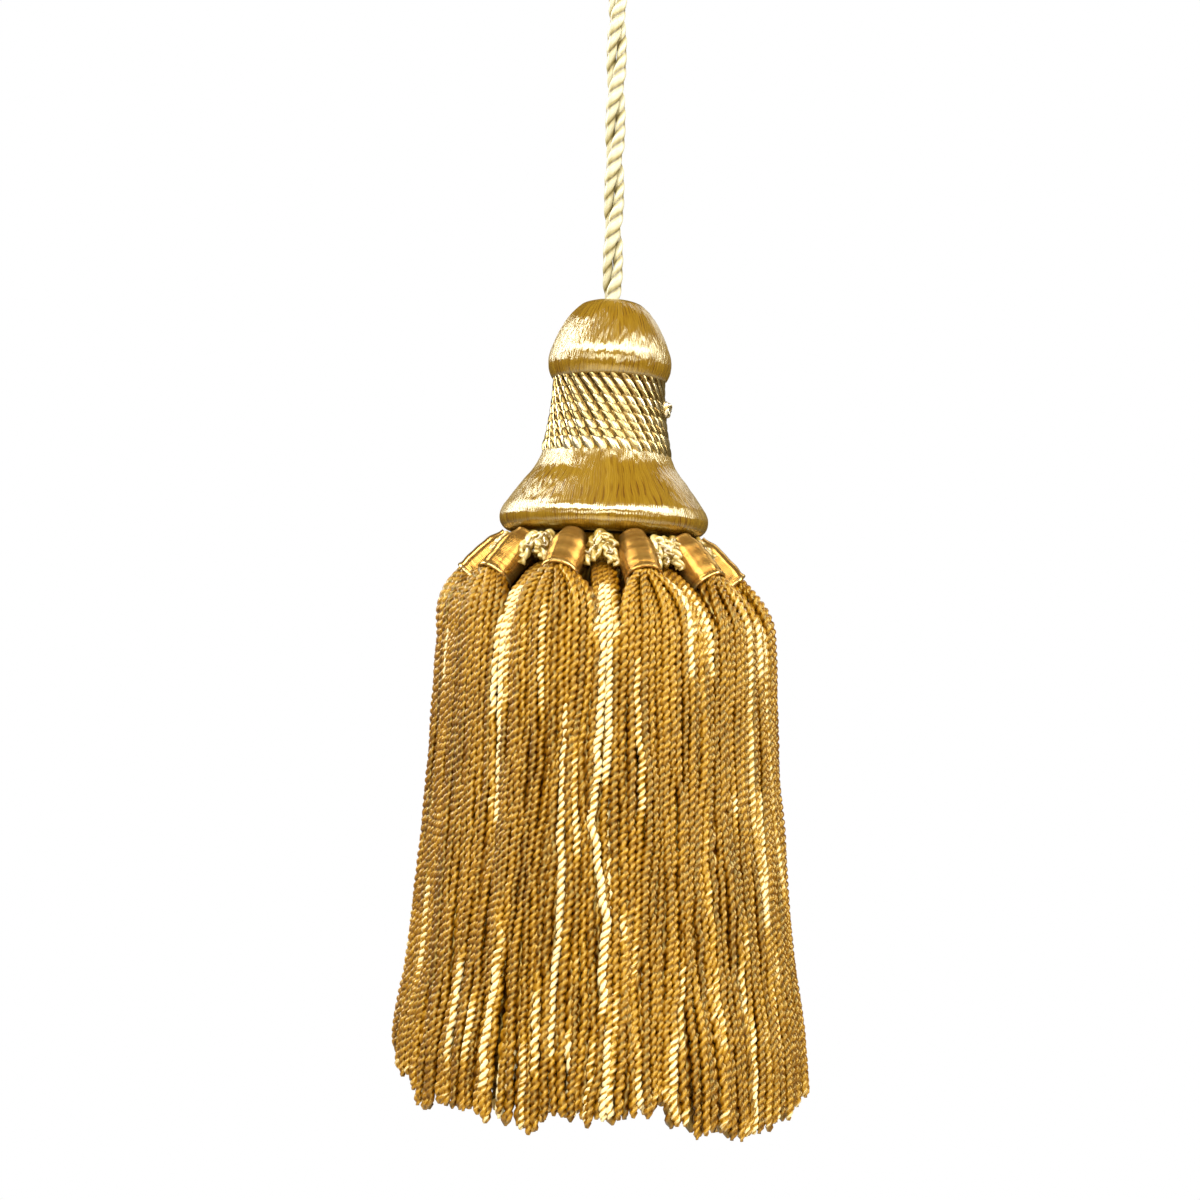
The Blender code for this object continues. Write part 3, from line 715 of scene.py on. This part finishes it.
def cord_route(steps):
    """The doubled cord's line: up one leg, round the eye and down the other leg, in metres."""
    leg_length = LOOP_LENGTH - EYE_HEIGHT
    foot = -LOOP_LENGTH - BORE_DEPTH * MM + LEG_FOOT
    step = PLY_PITCH / steps
    rises = round((leg_length + BORE_DEPTH * MM) / step)
    turn_at_eye = TURN * leg_length / LEG_PITCH
    heights = np.linspace(foot, -EYE_HEIGHT, rises + 1)

    def leg(side, height):
        angle = side * math.pi / 2 + (height + LOOP_LENGTH) / LEG_PITCH * TURN - turn_at_eye
        return np.stack([LEG_OFFSET * np.sin(angle), -LEG_OFFSET * np.cos(angle), height], axis=1)

    eye_steps = round(EYE_LINE * EYE_HEIGHT / step)
    turn = math.pi * np.arange(1, eye_steps) / eye_steps
    opening = EYE_WIDTH / 2 * np.sin(2 * turn) * np.sqrt(np.sin(turn))
    across = LEG_OFFSET * np.cos(turn) + opening
    rise = (EYE_HEIGHT + CORD_RADIUS) * np.sin(turn)
    eye = np.stack([across, 0 * turn, rise - EYE_HEIGHT], axis=1)
    return np.concatenate([leg(1, heights), eye, leg(-1, heights[::-1])])


def make_hanging_cord(material):
    """The doubled cord, whose legs press each other flat."""
    route = cord_route(PLY_STEPS)
    along = run_along(route)
    in_leg = ramp(0, LEG_PRESS_RUN, -EYE_HEIGHT - route[:, 2])
    tangent = unit(np.gradient(route, axis=0))
    side = np.cross(tangent, square_to(tangent, route * [1, 1, 0]))
    sheet = Sheet()
    angles, reach = ply_outline(CORD_SIDES, CORD_WAIST, CORD_SHOULDER)
    normal = square_to(tangent, np.array([0.0, 1.0, 0.0]))
    across = np.cross(tangent, normal)
    # A quarter turn over whole half turns sets one leg's crests against the other's hollows.
    half_turns = round(2 * along[-1] / PLY_PITCH - 0.5) + 0.5
    turned = angles[None, :] + math.pi * half_turns * along[:, None] / along[-1]
    x = np.cos(turned) * reach * CORD_BODY
    y = np.sin(turned) * reach * CORD_BODY
    offset = x[..., None] * normal[:, None, :] + y[..., None] * across[:, None, :]
    sideways = (offset * side[:, None, :]).sum(axis=2, keepdims=True) * side[:, None, :]
    offset += sideways * ((LEG_FLATTENING - 1) * in_leg)[:, None, None]
    u = np.linspace(0, TURN * CORD_RADIUS / MM, CORD_SIDES + 1)
    uv = (u[None, :], along[:, None] / MM)
    # Painted shade: crests lighter, grooves darker.
    groove_shade = ((reach - reach.min()) / (reach.max() - reach.min()))[None, :]
    sheet.grid(route[:, None, :] + offset, uv, HANGING_GROOVE_SHADE * groove_shade, turn=1)
    cord = sheet.build("hanging_loop_cord", material)
    settle(cord, "pale_cord", "hanging_cord")
    path = cord_route(ROUTE_STEPS)
    length_of(path)


def make_head(material):
    """The floss-covered head: each thread is a pair of columns."""
    rng = draws("head")
    parts = [BORE, smooth_line(DOME, DOME_ROWS), NECK, smooth_line(BELL, BELL_ROWS), [(0.0, HEAD_BOTTOM)]]
    profile = np.concatenate(parts)
    run = run_along(profile)
    columns = 2 * THREADS
    radius, depth = profile[:, :1], profile[:, 1:]
    column = np.arange(columns)
    width = np.repeat(rng.uniform(*THREAD_WIDTH, THREADS), 2)
    base = TURN * np.cumsum(width) / width.sum()
    crest = column % 2
    proud = np.repeat(rng.uniform(*THREAD_HEIGHT, THREADS), 2)
    bundle_of = (base / TURN * BUNDLES).astype(int) % BUNDLES
    tone = np.repeat(rng.normal(FLOSS_TONE, THREAD_TONE, THREADS), 2)
    tone = tone + rng.normal(0, BUNDLE_TONE, BUNDLES)[bundle_of]
    bundle = np.interp(base, np.linspace(0, TURN, BUNDLES + 1), rng.uniform(-1, 1, BUNDLES + 1))
    ripple = 0
    for (height, low, high), owner, owners in (
        (THREAD_RIPPLE, column // 2, THREADS),
        (BUNDLE_RIPPLE, bundle_of, BUNDLES),
    ):
        wave = rng.uniform(low, high, owners)[owner]
        phase = rng.uniform(0, TURN, owners)[owner]
        ripple = ripple + height * np.sin(TURN * run[:, None] / wave + phase)
    # A slit of painted shade runs between two bundles wherever its two waves together are high.
    edge = np.abs((base / TURN * BUNDLES) % 1 - 0.5) * 2
    phases = rng.uniform(0, TURN, (2, BUNDLES))[:, bundle_of]
    slit_shade = sum(np.sin(run[:, None] / wave + phase) for wave, phase in zip(SLIT_RUNS, phases))
    slit_shade = SLIT_PAINTED_SHADE * ramp(*SLIT_EDGE, edge)[None, :] * ramp(*SLIT_OPENS, slit_shade)
    dome_share = np.clip(depth / NECK_TOP, 0, 1)
    bell_share = np.clip((depth - NECK_BOTTOM) / (HEAD_BOTTOM - NECK_BOTTOM), 0, 1)
    angle = base[None, :] - DOME_SLANT * dome_share - BELL_SLANT * bell_share
    for size, down, around_head in THREAD_WANDER:
        angle = angle + size * np.sin(depth * down + base * around_head)
    relief = (THREAD_RIB * proud * crest + BUNDLE_RIB * bundle)[None, :] + ripple
    raised = relief * ramp(*RELIEF_RADII, radius)
    points = around(radius + raised, angle, depth - THREAD_SINK * raised)
    u = np.arange(columns + 1) / 2 * THREAD_UV
    uv = (u[None, :], run[:, None])
    # Crest columns are painted lighter and groove columns darker: painted shade between the threads.
    tone = (tone + (crest - 0.5) * THREAD_GROOVE_SHADE)[None, :] - slit_shade
    sheet = Sheet()
    # Painted shade under the bell's lip.
    under_shade = UNDERSIDE_PAINTED_SHADE * ramp(*UNDERSIDE_DEPTHS, depth)
    sheet.grid(placed(HEAD_FRAME, points), uv, tone - under_shade, caps=False)
    settle(sheet.build("head_floss", material), "gold_floss", "head")


def make_neck_wrap(material):
    """The neck cord: its first and last turns go in under the dome and the bell."""
    turns = (WRAP_END - WRAP_START) / WRAP_ROW
    rings = round(turns * WRAP_STROKES * STROKE_RINGS)
    turn = np.linspace(0, turns, rings)
    depth = WRAP_START + WRAP_ROW * turn
    share = (depth - NECK_TOP) / (NECK_BOTTOM - NECK_TOP)
    half_height = np.interp(share, [0, 1], WRAP_HALF_HEIGHT)
    # A row shows this much of its cord's section to each side of the middle.
    shown = np.arcsin(WRAP_ROW / 2 / half_height)
    half_depth = WRAP_RIDGE / (1 - np.cos(shown))
    radius = smooth_table(WRAP, share) - half_depth
    angle = math.pi + TURN * turn
    line = placed(HEAD_FRAME, around(radius, angle, depth))
    outwards = around(1, angle, 0) @ HEAD_FRAME[:3, :3].T
    # The plies of each row run on into those of the row below.
    per_turn = TURN * (WRAP_STROKES + 1) / WRAP_PLIES - 2 * shown
    twist = np.concatenate([[0], np.cumsum(per_turn[:-1] * np.diff(turn))])
    sheet = Sheet()
    size, wave = WRAP_TONE_WAVE
    tone = WRAP_TONE + size * np.sin(turn * wave)
    hollows = np.tile(WRAP_HOLLOWS + WRAP_HOLLOWS[-2:0:-1], WRAP_PLIES)
    outline = (circle(len(hollows)), 1 - hollows[None, :] / half_depth[:, None])
    press = half_depth / half_height
    sweep(sheet, line, half_height * MM, twist, outwards, outline, tone, WRAP_GROOVE_SHADE, press, lean=False)
    settle(sheet.build("neck_cord", material), "gold_cord", "neck_wrap")


def make_knot(material):
    """The small knot that ends the neck cord: the cord turned round itself."""
    turn = np.linspace(0, KNOT_TURNS * TURN, KNOT_STEPS)
    ring = KNOT_RING * (1 - KNOT_CLOSING * turn)
    across, up = ring * np.cos(turn), KNOT_HEIGHT * ring * np.sin(turn)
    local = np.stack([across, -KNOT_RISE * turn / TURN, up], axis=1)
    share = (KNOT_DEPTH - NECK_TOP) / (NECK_BOTTOM - NECK_TOP)
    seat = float(smooth_table(WRAP, share)) + KNOT_SEAT
    facing = np.array(Matrix.Rotation(KNOT_ANGLE, 3, "Z"))
    line = local @ facing.T + around(seat, KNOT_ANGLE, KNOT_DEPTH)
    sheet = Sheet()
    radius = np.full(KNOT_STEPS, KNOT_RADIUS * MM)
    tone = np.full(KNOT_STEPS, KNOT_TONE)
    outline = ply_outline(CORD_CORNERS, *KNOT_SECTION)
    line = placed(HEAD_FRAME, line)
    outwards = around(1, KNOT_ANGLE, 0.1)
    sweep(sheet, line, radius, KNOT_PLY_TURNS * turn, outwards, outline, tone, CORD_GROOVE_SHADE)
    settle(sheet.build("neck_knot", material), "gold_cord", "wrap_knot")


def collar_angle(index):
    return FIRST_COLLAR + TURN * index / COLLARS


def collar_frame(index):
    """A collar's frame: its origin is the top end's centre, and -Z runs to the mouth."""
    start = around(COLLAR_AT_RADIUS, 0, COLLAR_AT_DEPTH) * MM
    lean = Matrix.Rotation(-math.radians(COLLAR_LEAN[index % COLLARS]), 4, "X")
    local = Matrix.Rotation(collar_angle(index), 4, "Z") @ Matrix.Translation(start) @ lean
    return HEAD_FRAME @ np.array(local)


def bulge(at, height, above_mouth, width):
    """A soft ring round a collar."""
    return height * np.exp(-(((at - COLLAR_LENGTH + above_mouth) / width) ** 2))


def make_collar(index, material):
    """Floss wound round and round a bundle, with a rolled edge at the mouth."""
    rng = draws("collar", index)
    rows = 2 * round(COLLAR_LENGTH / COLLAR_THREAD) + 1
    down = np.linspace(0, COLLAR_LENGTH, rows)
    crest = (np.arange(rows) % 2) * COLLAR_RIB * rng.uniform(*COLLAR_RIB_SHARE, rows)
    swell = 0
    for (height, wave), phase in zip(COLLAR_SWELLS, (rng.uniform(0, TURN), index)):
        swell = swell + height * np.sin(down * wave + phase)
    lip = bulge(down, *COLLAR_LIP)
    taper = COLLAR_TAPER * (1 - ramp(0, COLLAR_TAPER_RUN, down)) ** 1.5
    radius = COLLAR_RADIUS - COLLAR_SINK + crest + swell + lip + bulge(down, *COLLAR_WAIST) - taper
    tone = np.clip(rng.normal(COLLAR_TONE, COLLAR_STRAY, rows), 0, 1)
    # Painted highlight on the rolled edge.
    tone = tone + LIP_PAINTED_HIGHLIGHT * (lip > LIP_EDGE)
    # The mouth's inside darkens deeper in: painted shade.
    inside = np.array(COLLAR_INSIDE)
    tone = np.concatenate([[COLLAR_TOP[1]], tone, inside[:, 2]])
    inside = inside[:, :2] + [COLLAR_BORE, COLLAR_LENGTH]
    profile = np.concatenate([[[COLLAR_TOP[0], 0.0]], np.stack([radius, down], axis=1), inside])
    angle = circle(COLLAR_SIDES)
    slope = COLLAR_SLANT * np.sin(angle + rng.uniform(0, TURN))
    depth = profile[:, 1:]
    from_top, from_mouth = COLLAR_SLANT_RUNS
    to_mouth = COLLAR_LENGTH - 2 * COLLAR_THREAD - depth
    middle = ramp(0, from_top, depth) * ramp(0, from_mouth, to_mouth)
    points = around(profile[:, :1], angle[None, :], depth + middle * slope[None, :])
    run = run_along(profile)
    run = np.concatenate([[-1.0], down, COLLAR_LENGTH + run[rows + 1 :] - run[rows]])
    run = run * THREAD_UV / COLLAR_THREAD
    along = np.linspace(0, TURN * COLLAR_RADIUS, COLLAR_SIDES + 1)
    uv = (run[:, None], along[None, :])
    sheet = Sheet()
    sheet.grid(placed(collar_frame(index), points), uv, tone[:, None], caps=False)
    name = f"{index + 1:02d}"
    settle(sheet.build("collar_floss_" + name, material), "gold_floss", "collar_" + name)


def ruff_line(middle, width, height, apex_radius, apex_depth, skew=0.0):
    """An arch of cord over the space at an angle, from foot to foot, in the head's frame."""
    turn = math.pi * np.linspace(0, 1, RUFF_STEPS)
    drop = 1 - np.sin(turn)
    radius = apex_radius + RUFF_FOOT_OUT * drop
    across = width * np.cos(turn) * (1 + RUFF_FOOT_SPREAD * drop) + skew * drop
    return around(radius, middle - across / radius, apex_depth + height * drop)


def make_ruff(index, material):
    """The arch of cord between two collars, with jumbled loops of it on both sides."""
    rng = draws("ruff", index)
    middle = collar_angle(index) + math.pi / COLLARS
    sheet = Sheet()
    lines = [(ruff_line(middle, *RUFF_ARCH), RUFF_ARCH_TONE)]
    for loop in range(RUFF_LOOPS[index]):
        side = 1 if loop % 2 else -1
        shift, radius, depth, width, height, skew, tone = (rng.uniform(*span) for span in RUFF_LOOP)
        lines.append((ruff_line(middle + side * shift, width, height, radius, depth, side * skew), tone))
    outline = ply_outline(CORD_CORNERS, *RUFF_SECTION)
    for line, tone in lines:
        rings = round(length_of(line) / RUFF_RING)
        line = even(line, rings)
        twist = -TURN * np.linspace(0, length_of(line), rings) / RUFF_PITCH + rng.uniform(0, TURN)
        thick = np.full(rings, RUFF_RADIUS * MM)
        tone = np.full(rings, tone)
        sweep(sheet, placed(HEAD_FRAME, line), thick, twist, outward(line), outline, tone, CORD_GROOVE_SHADE)
    name = f"{index + 1:02d}"
    settle(sheet.build("ruff_loops_" + name, material), "gold_cord", "ruff_" + name)


def hem_depth(angle):
    degrees = (math.degrees(angle) + 180) % 360 - 180
    return TIP_DEPTH + float(np.interp(degrees, *zip(*HEM)))


def shared_sway(angle, depth):
    """How far strands have drifted sideways together."""
    sway = 0
    for index, (waves, length, size) in enumerate(SWAYS):
        sway = sway + size * np.sin(waves * angle + TURN * depth / length + SWAY_PHASE * index)
    clump = 0
    for index, (waves, size) in enumerate(HEM_CLUMPS):
        clump = clump + size * np.sin(waves * angle + CLUMP_PHASE * index)
    sway = sway * ramp(SHOULDER, SHOULDER + SWAY_RUN, depth)
    return sway + clump * ramp(*CLUMP_DEPTHS, depth)


def valley(angle, depth):
    """How much deeper the strands lie in the spaces between two collars' bundles."""
    across = np.cos(COLLARS / 2 * (angle - FIRST_COLLAR)) ** 2
    return VALLEY * (1 - across) ** 4 * (1 - ramp(*VALLEY_DEPTHS, depth))


def fall(rng, start, leaving, angle, inset, short, fan=0.0):
    """A strand's line from its root over the shoulder and down to its tip."""
    tip = hem_depth(angle) - short
    depth = np.linspace(SHOULDER, tip, FALL_STEPS)
    loose = ramp(SHOULDER, SHOULDER + LOOSE_RUN, depth)
    phases = rng.uniform(0, TURN, 2)
    stray = STRAY if rng.uniform() < STRAY_CHANCE else 1.0
    sway = rng.normal(0, TIP_SWING) * ramp(*TIP_SWING_DEPTHS, depth)
    for size, low, high in WANDER:
        sway = sway + size * np.sin(depth / rng.uniform(low, high) + rng.uniform(0, TURN))
    sway = shared_sway(angle, depth) + loose * stray * sway
    lift = -STRAY_LIFT * (stray - 1)
    for (size, low, high), phase in zip(LIFTS, phases):
        lift = lift + size * np.sin(depth / rng.uniform(low, high) + phase)
    radius = smooth_table(SKIRT, depth) - inset - STRAND_INSET - loose * lift - valley(angle, depth)
    drop = placed(SKIRT_FRAME, around(radius, angle + sway / radius, depth))
    arriving = np.array([0, 0, -SHOULDER_PULL * MM])
    share = np.linspace(0, 1, OVER_STEPS)
    over = hermite(start, leaving, drop[0], arriving, share[:, None])
    if fan:
        sideways = around(1, angle + math.pi / 2, 0)
        first, last = start @ sideways, drop[0] @ sideways
        spread = first + (last - first) * (1 - (1 - share) ** fan)
        over += (spread - over @ sideways)[:, None] * sideways
    return np.concatenate([over[:-1], drop])


def collar_strand(rng, index, slot, angle, rows):
    """A strand that comes out of a collar's mouth, in one of the rows there."""
    inner = slot - GAP_SLOTS
    last = COLLAR_SLOTS - 2 * GAP_SLOTS - 1
    out, pull, inset, short = rows[round(inner) % len(rows)]
    across = (2 * inner / last - 1) * math.sqrt(ROOT_REACH**2 - out**2)
    matrix = collar_frame(index)
    start = placed(matrix, np.array([across, -out, -COLLAR_LENGTH]))
    inside = placed(matrix, np.array([across, -out, -COLLAR_LENGTH + ROOT_INSIDE]))
    leaving = matrix[:3, :3] @ np.array([0, 0, -pull * MM])
    line = fall(rng, start, leaving, angle, inset, short + rng.uniform(-TIP_SPREAD, TIP_SPREAD), ROOT_FAN)
    return np.concatenate([[inside], line])


def gap_strand(rng, index, slot, angle, inset):
    """A strand that comes straight from the heading, in the space between two collars."""
    after = slot >= COLLAR_SLOTS // 2
    side = slot + 0.5 - COLLAR_SLOTS * after
    gap = collar_angle(index) + (2 * after - 1) * math.pi / COLLARS
    root_angle = gap + side * GAP_ROOT_PITCH / GAP_ROOT_RADIUS
    start = placed(HEAD_FRAME, around(GAP_ROOT_RADIUS, root_angle, GAP_ROOT_DEPTH))
    outwards, down = GAP_PULL
    pull = outwards - GAP_PULL_LOSS * (inset - GAP_INSET)
    leaving = HEAD_FRAME[:3, :3] @ (around(pull, gap, down) * MM)
    return fall(rng, start, leaving, angle, inset, rng.uniform(-TIP_SPREAD, TIP_SPREAD))


def strands_of(rng, index, offset, rows, gap_inset, base):
    """(line, tone) of each strand of one collar and of half the space on each side of it."""
    pitch = TURN / (COLLARS * COLLAR_SLOTS)
    for whole in range(COLLAR_SLOTS):
        slot = whole + offset
        angle = collar_angle(index) + (slot + 0.5 - COLLAR_SLOTS / 2) * pitch
        # Listed pale stretches: paler yarn and painted highlight.
        pale_highlight_stretches = [row[2:] for row in PALE_AND_HIGHLIGHT_STRETCHES if row[:2] == (index, slot)]
        if GAP_SLOTS <= slot < COLLAR_SLOTS - GAP_SLOTS:
            yield collar_strand(rng, index, slot, angle, rows), strand_tone(rng, base, pale_highlight_stretches)
        else:
            near = min(slot, COLLAR_SLOTS - 1 - slot) < 1
            if near and (offset or index not in FRONT_COLLARS):
                pale_highlight_stretches.append([rng.uniform(*span) for span in GAP_PALE_AND_HIGHLIGHT])
            yield gap_strand(rng, index, slot, angle, gap_inset), strand_tone(rng, base + GAP_SHADED_TONE, pale_highlight_stretches)


def yarn(rng, sheet, line, tone, radius, ring, bead):
    """One strand of two-ply yarn with a pointed tip."""
    length = length_of(line) / MM
    rings = round(length / ring)
    line = even(line, rings)
    along = np.linspace(0, length, rings)
    kink = np.sin(TURN * along / rng.uniform(*KINK_WAVE) + rng.uniform(0, TURN)) * rng.uniform(*KINK)
    kink = kink * ramp(*KINK_STARTS, along) * MM
    line = line + kink[:, None] * np.cross(outward(line), [0, 0, 1])
    bead = bead * rng.uniform(*BEAD_SPREAD)
    slack = SLACK * np.sin(along / rng.uniform(*SLACK_WAVE) + rng.uniform(0, TURN))
    twist = math.pi * along / bead + rng.uniform(0, TURN) + slack
    swell, wave = YARN_SWELL
    width = radius * rng.uniform(*YARN_SPREAD) * (1 + swell * np.sin(along / wave + rng.uniform(0, TURN)))
    width *= 1 - TIP_LOSS * ramp(length - TIP_TAPER, length, along) ** 1.5
    width *= ROOT_WIDTH + (1 - ROOT_WIDTH) * ramp(0, ROOT_WIDTH_RUN, along)
    section = (circle(len(YARN_REACH)) + math.pi / len(YARN_REACH), YARN_REACH)
    sweep(sheet, line, width * MM, twist, outward(line) + YARN_LEAN, section, tone(along), YARN_GROOVE_SHADE)


def strand_tone(rng, base, pale_highlight_stretches=()):
    """A strand's tone along it: its own shade, painted shade below the shoulder, soft variation, and pale
    stretches, partly painted highlight.
    """
    phases = rng.uniform(0, TURN, 2)
    shade = base + rng.normal(0, STRAND_TONE)
    patches = list(pale_highlight_stretches)
    # Random pale patches: paler yarn and painted highlight.
    while rng.uniform() < PATCH_CHANCE:
        start = rng.uniform(*(PATCH_START if rng.uniform() < PATCH_ANYWHERE else PATCH_LOW_START))
        patches.append((start, start + rng.uniform(*PATCH_LENGTH), rng.uniform(*PATCH_PALE_HIGHLIGHT)))
    point = rng.uniform(*POINT_LIFT)
    point_starts, point_full = POINT_RUN

    def tone(along):
        # Painted shade below the shoulder, which partly lifts lower down.
        back = 1 - PAINTED_SHADE_BACK * ramp(*PAINTED_SHADE_BACK_RUN, along)
        value = shade - PAINTED_SHADE * ramp(*PAINTED_SHADE_RUN, along) * back
        for (size, wave), phase in zip(TONE_WAVES, phases):
            value = value + size * np.sin(along / wave + phase)
        for low, high, lift in patches:
            begun = ramp(low - PATCH_FADE, low + PATCH_FADE, along)
            value = value + lift * begun * (1 - ramp(high - PATCH_FADE, high + PATCH_FADE, along))
        value = value + point * ramp(along[-1] - point_starts, along[-1] - point_full, along)
        return np.clip(value, 0, 1)

    return tone


def make_layer(name, rng, collars, layer, material):
    """A layer's strands of these collars and of half the space on each side of each."""
    sheet = Sheet()
    places, build = layer
    for index in collars:
        for line, tone in strands_of(rng, index, *places):
            yarn(rng, sheet, line, tone, *build)
    settle(sheet.build(name, material), "gold_yarn", "fringe")


def make_inner_locks(material):
    """Thicker, plainer strands that fill the skirt."""
    rng = draws("lock")
    sheet = Sheet()
    for count, root, hem, thickness in INNER_LOCKS:
        for index in range(count):
            angle = TURN * (index + 0.5) / count
            top = placed(HEAD_FRAME, around(root, angle, LOCK_ROOT_DEPTH))
            middle = placed(SKIRT_FRAME, around(hem * LOCK_MIDDLE_OUT, angle, LOCK_MIDDLE_DEPTH))
            tip_depth = hem_depth(angle) - LOCK_SHORT[index % len(LOCK_SHORT)]
            tip_depth += rng.uniform(-LOCK_TIP_SPREAD, LOCK_TIP_SPREAD)
            tip = placed(SKIRT_FRAME, around(hem, angle + rng.normal(0, LOCK_TIP_TURN), tip_depth))
            line = smooth_line([top, middle, tip], LOCK_STEPS)
            yarn(rng, sheet, line, strand_tone(rng, LOCK_SHADED_TONE), thickness, LOCK_RING, LOCK_BEAD)
    settle(sheet.build("inner_locks", material), "gold_yarn", "fringe")


def make_heading(material):
    """The yarn's heading under the head, and the plugs of it that go into the collars."""
    sheet = Sheet()
    profile = [[(0.0, HEADING_TOP)], smooth_line(HEADING, HEADING_ROWS), [(0.0, HEADING_BOTTOM)]]
    profile = np.concatenate(profile)
    radius, depth = profile[:, :1], profile[:, 1:]
    angle = circle(HEADING_SIDES)
    crest = np.arange(HEADING_SIDES) % 2
    points = around(radius + HEADING_RIB * (crest - 1) * (radius > 1), angle + 0 * radius, depth)
    u = np.linspace(0, TURN * HEADING_RADIUS, HEADING_SIDES + 1)
    uv = (u[None, :], depth)
    # Painted shade between the heading's ribs.
    tone = (HEADING_TONE + HEADING_GROOVE_SHADE * crest)[None, :]
    sheet.grid(placed(HEAD_FRAME, points), uv, tone, caps=False)
    rng = draws("plug")
    outline = (circle(PLUG_SIDES), np.ones(PLUG_SIDES))
    thick = np.interp(np.linspace(0, 1, PLUG_STEPS), *PLUG_RADII) * MM
    tone = np.full(PLUG_STEPS, PLUG_SHADED_TONE)
    for index in range(COLLARS):
        matrix = collar_frame(index)
        line = smooth_line(placed(matrix, np.array(PLUG_LINE)), PLUG_STEPS)
        twist = np.full(PLUG_STEPS, rng.uniform(0, 1))
        sweep(sheet, line, thick, twist, matrix[:3, 0], outline, tone)
    settle(sheet.build("fringe_heading", material), "gold_yarn", "fringe")


# ---- studio


def make_camera():
    data = bpy.data.cameras.new("camera")
    data.sensor_width = SENSOR_MM
    data.lens = LENS_MM
    data.clip_start = CAMERA_CLIP
    camera = added("camera", data)
    pitch = Matrix.Rotation(math.pi / 2 + CAMERA_PITCH, 4, "X")
    camera.matrix_world = Matrix.Translation(CAMERA_PLACE) @ pitch @ Matrix.Rotation(CAMERA_ROLL, 4, "Z")
    bpy.context.scene.camera = camera


def softbox(name, azimuth, elevation, size, power, colour=(1, 1, 1)):
    """An area light that faces the tassel."""
    data = bpy.data.lights.new(name, "AREA")
    data.shape = "RECTANGLE"
    data.size, data.size_y = size
    data.energy = power
    data.color = colour
    light = added(name, data)
    a, e = math.radians(azimuth), math.radians(elevation)
    direction = np.array([math.sin(a) * math.cos(e), -math.cos(a) * math.cos(e), math.sin(e)])
    back = Vector(direction).to_track_quat("Z", "Y").to_matrix().to_4x4()
    light.matrix_world = Matrix.Translation(LIGHT_TARGET + direction * LIGHT_DISTANCE) @ back


def make_world():
    """White behind the tassel, and a dimmer light from all round."""
    world = bpy.data.worlds.new("studio")
    bpy.context.scene.world = world
    nodes = Nodes(world)
    nodes.tree.nodes.clear()
    seen = nodes.add("Background", {"Color": (1, 1, 1, 1)}).outputs[0]
    light = nodes.add("Background", {"Color": (*AMBIENT_COLOUR, 1), "Strength": AMBIENT}).outputs[0]
    camera_ray = nodes.add("LightPath").outputs["Is Camera Ray"]
    mix = nodes.add("MixShader", {"Fac": camera_ray, 1: light, 2: seen})
    nodes.add("OutputWorld", {"Surface": mix.outputs[0]})


def make_floor():
    place = (0, 0, FLOOR_HEIGHT)
    ring = bpy.ops.mesh.primitive_circle_add
    ring(vertices=FLOOR_SIDES, radius=FLOOR_RADIUS, fill_type="NGON", location=place)
    floor = bpy.context.object
    floor.name = "floor"
    material = bpy.data.materials.new("pale_floor")
    nodes = Nodes(material)
    look = {"Base Color": (*FLOOR_COLOUR, 1), "Roughness": FLOOR_ROUGHNESS}
    nodes.fill(nodes.tree.nodes["Principled BSDF"], look)
    floor.data.materials.append(material)


def main():
    bpy.context.scene.view_settings.view_transform = "Standard"
    make_camera()
    make_world()
    make_floor()
    for light in LIGHTS:
        softbox(*light)
    silks = {name: thread_silk(name + "_silk", **look) for name, look in SILKS.items()}
    make_hanging_cord(silks["pale_cord"])
    make_head(silks["floss"])
    make_neck_wrap(silks["neck"])
    make_knot(silks["neck"])
    for index in range(COLLARS):
        make_collar(index, silks["wound"])
        make_ruff(index, silks["cord"])
        name = f"outer_strands_{index + 1:02d}"
        make_layer(name, draws("outer", index), [index], OUTER_LAYER, silks["yarn"])
    for half in range(2):
        name = f"second_layer_{half + 1}"
        collars = range(half * COLLARS // 2, (half + 1) * COLLARS // 2)
        make_layer(name, draws("second", half), collars, SECOND_LAYER, silks["yarn"])
    make_inner_locks(silks["yarn"])
    make_heading(silks["yarn"])


main()
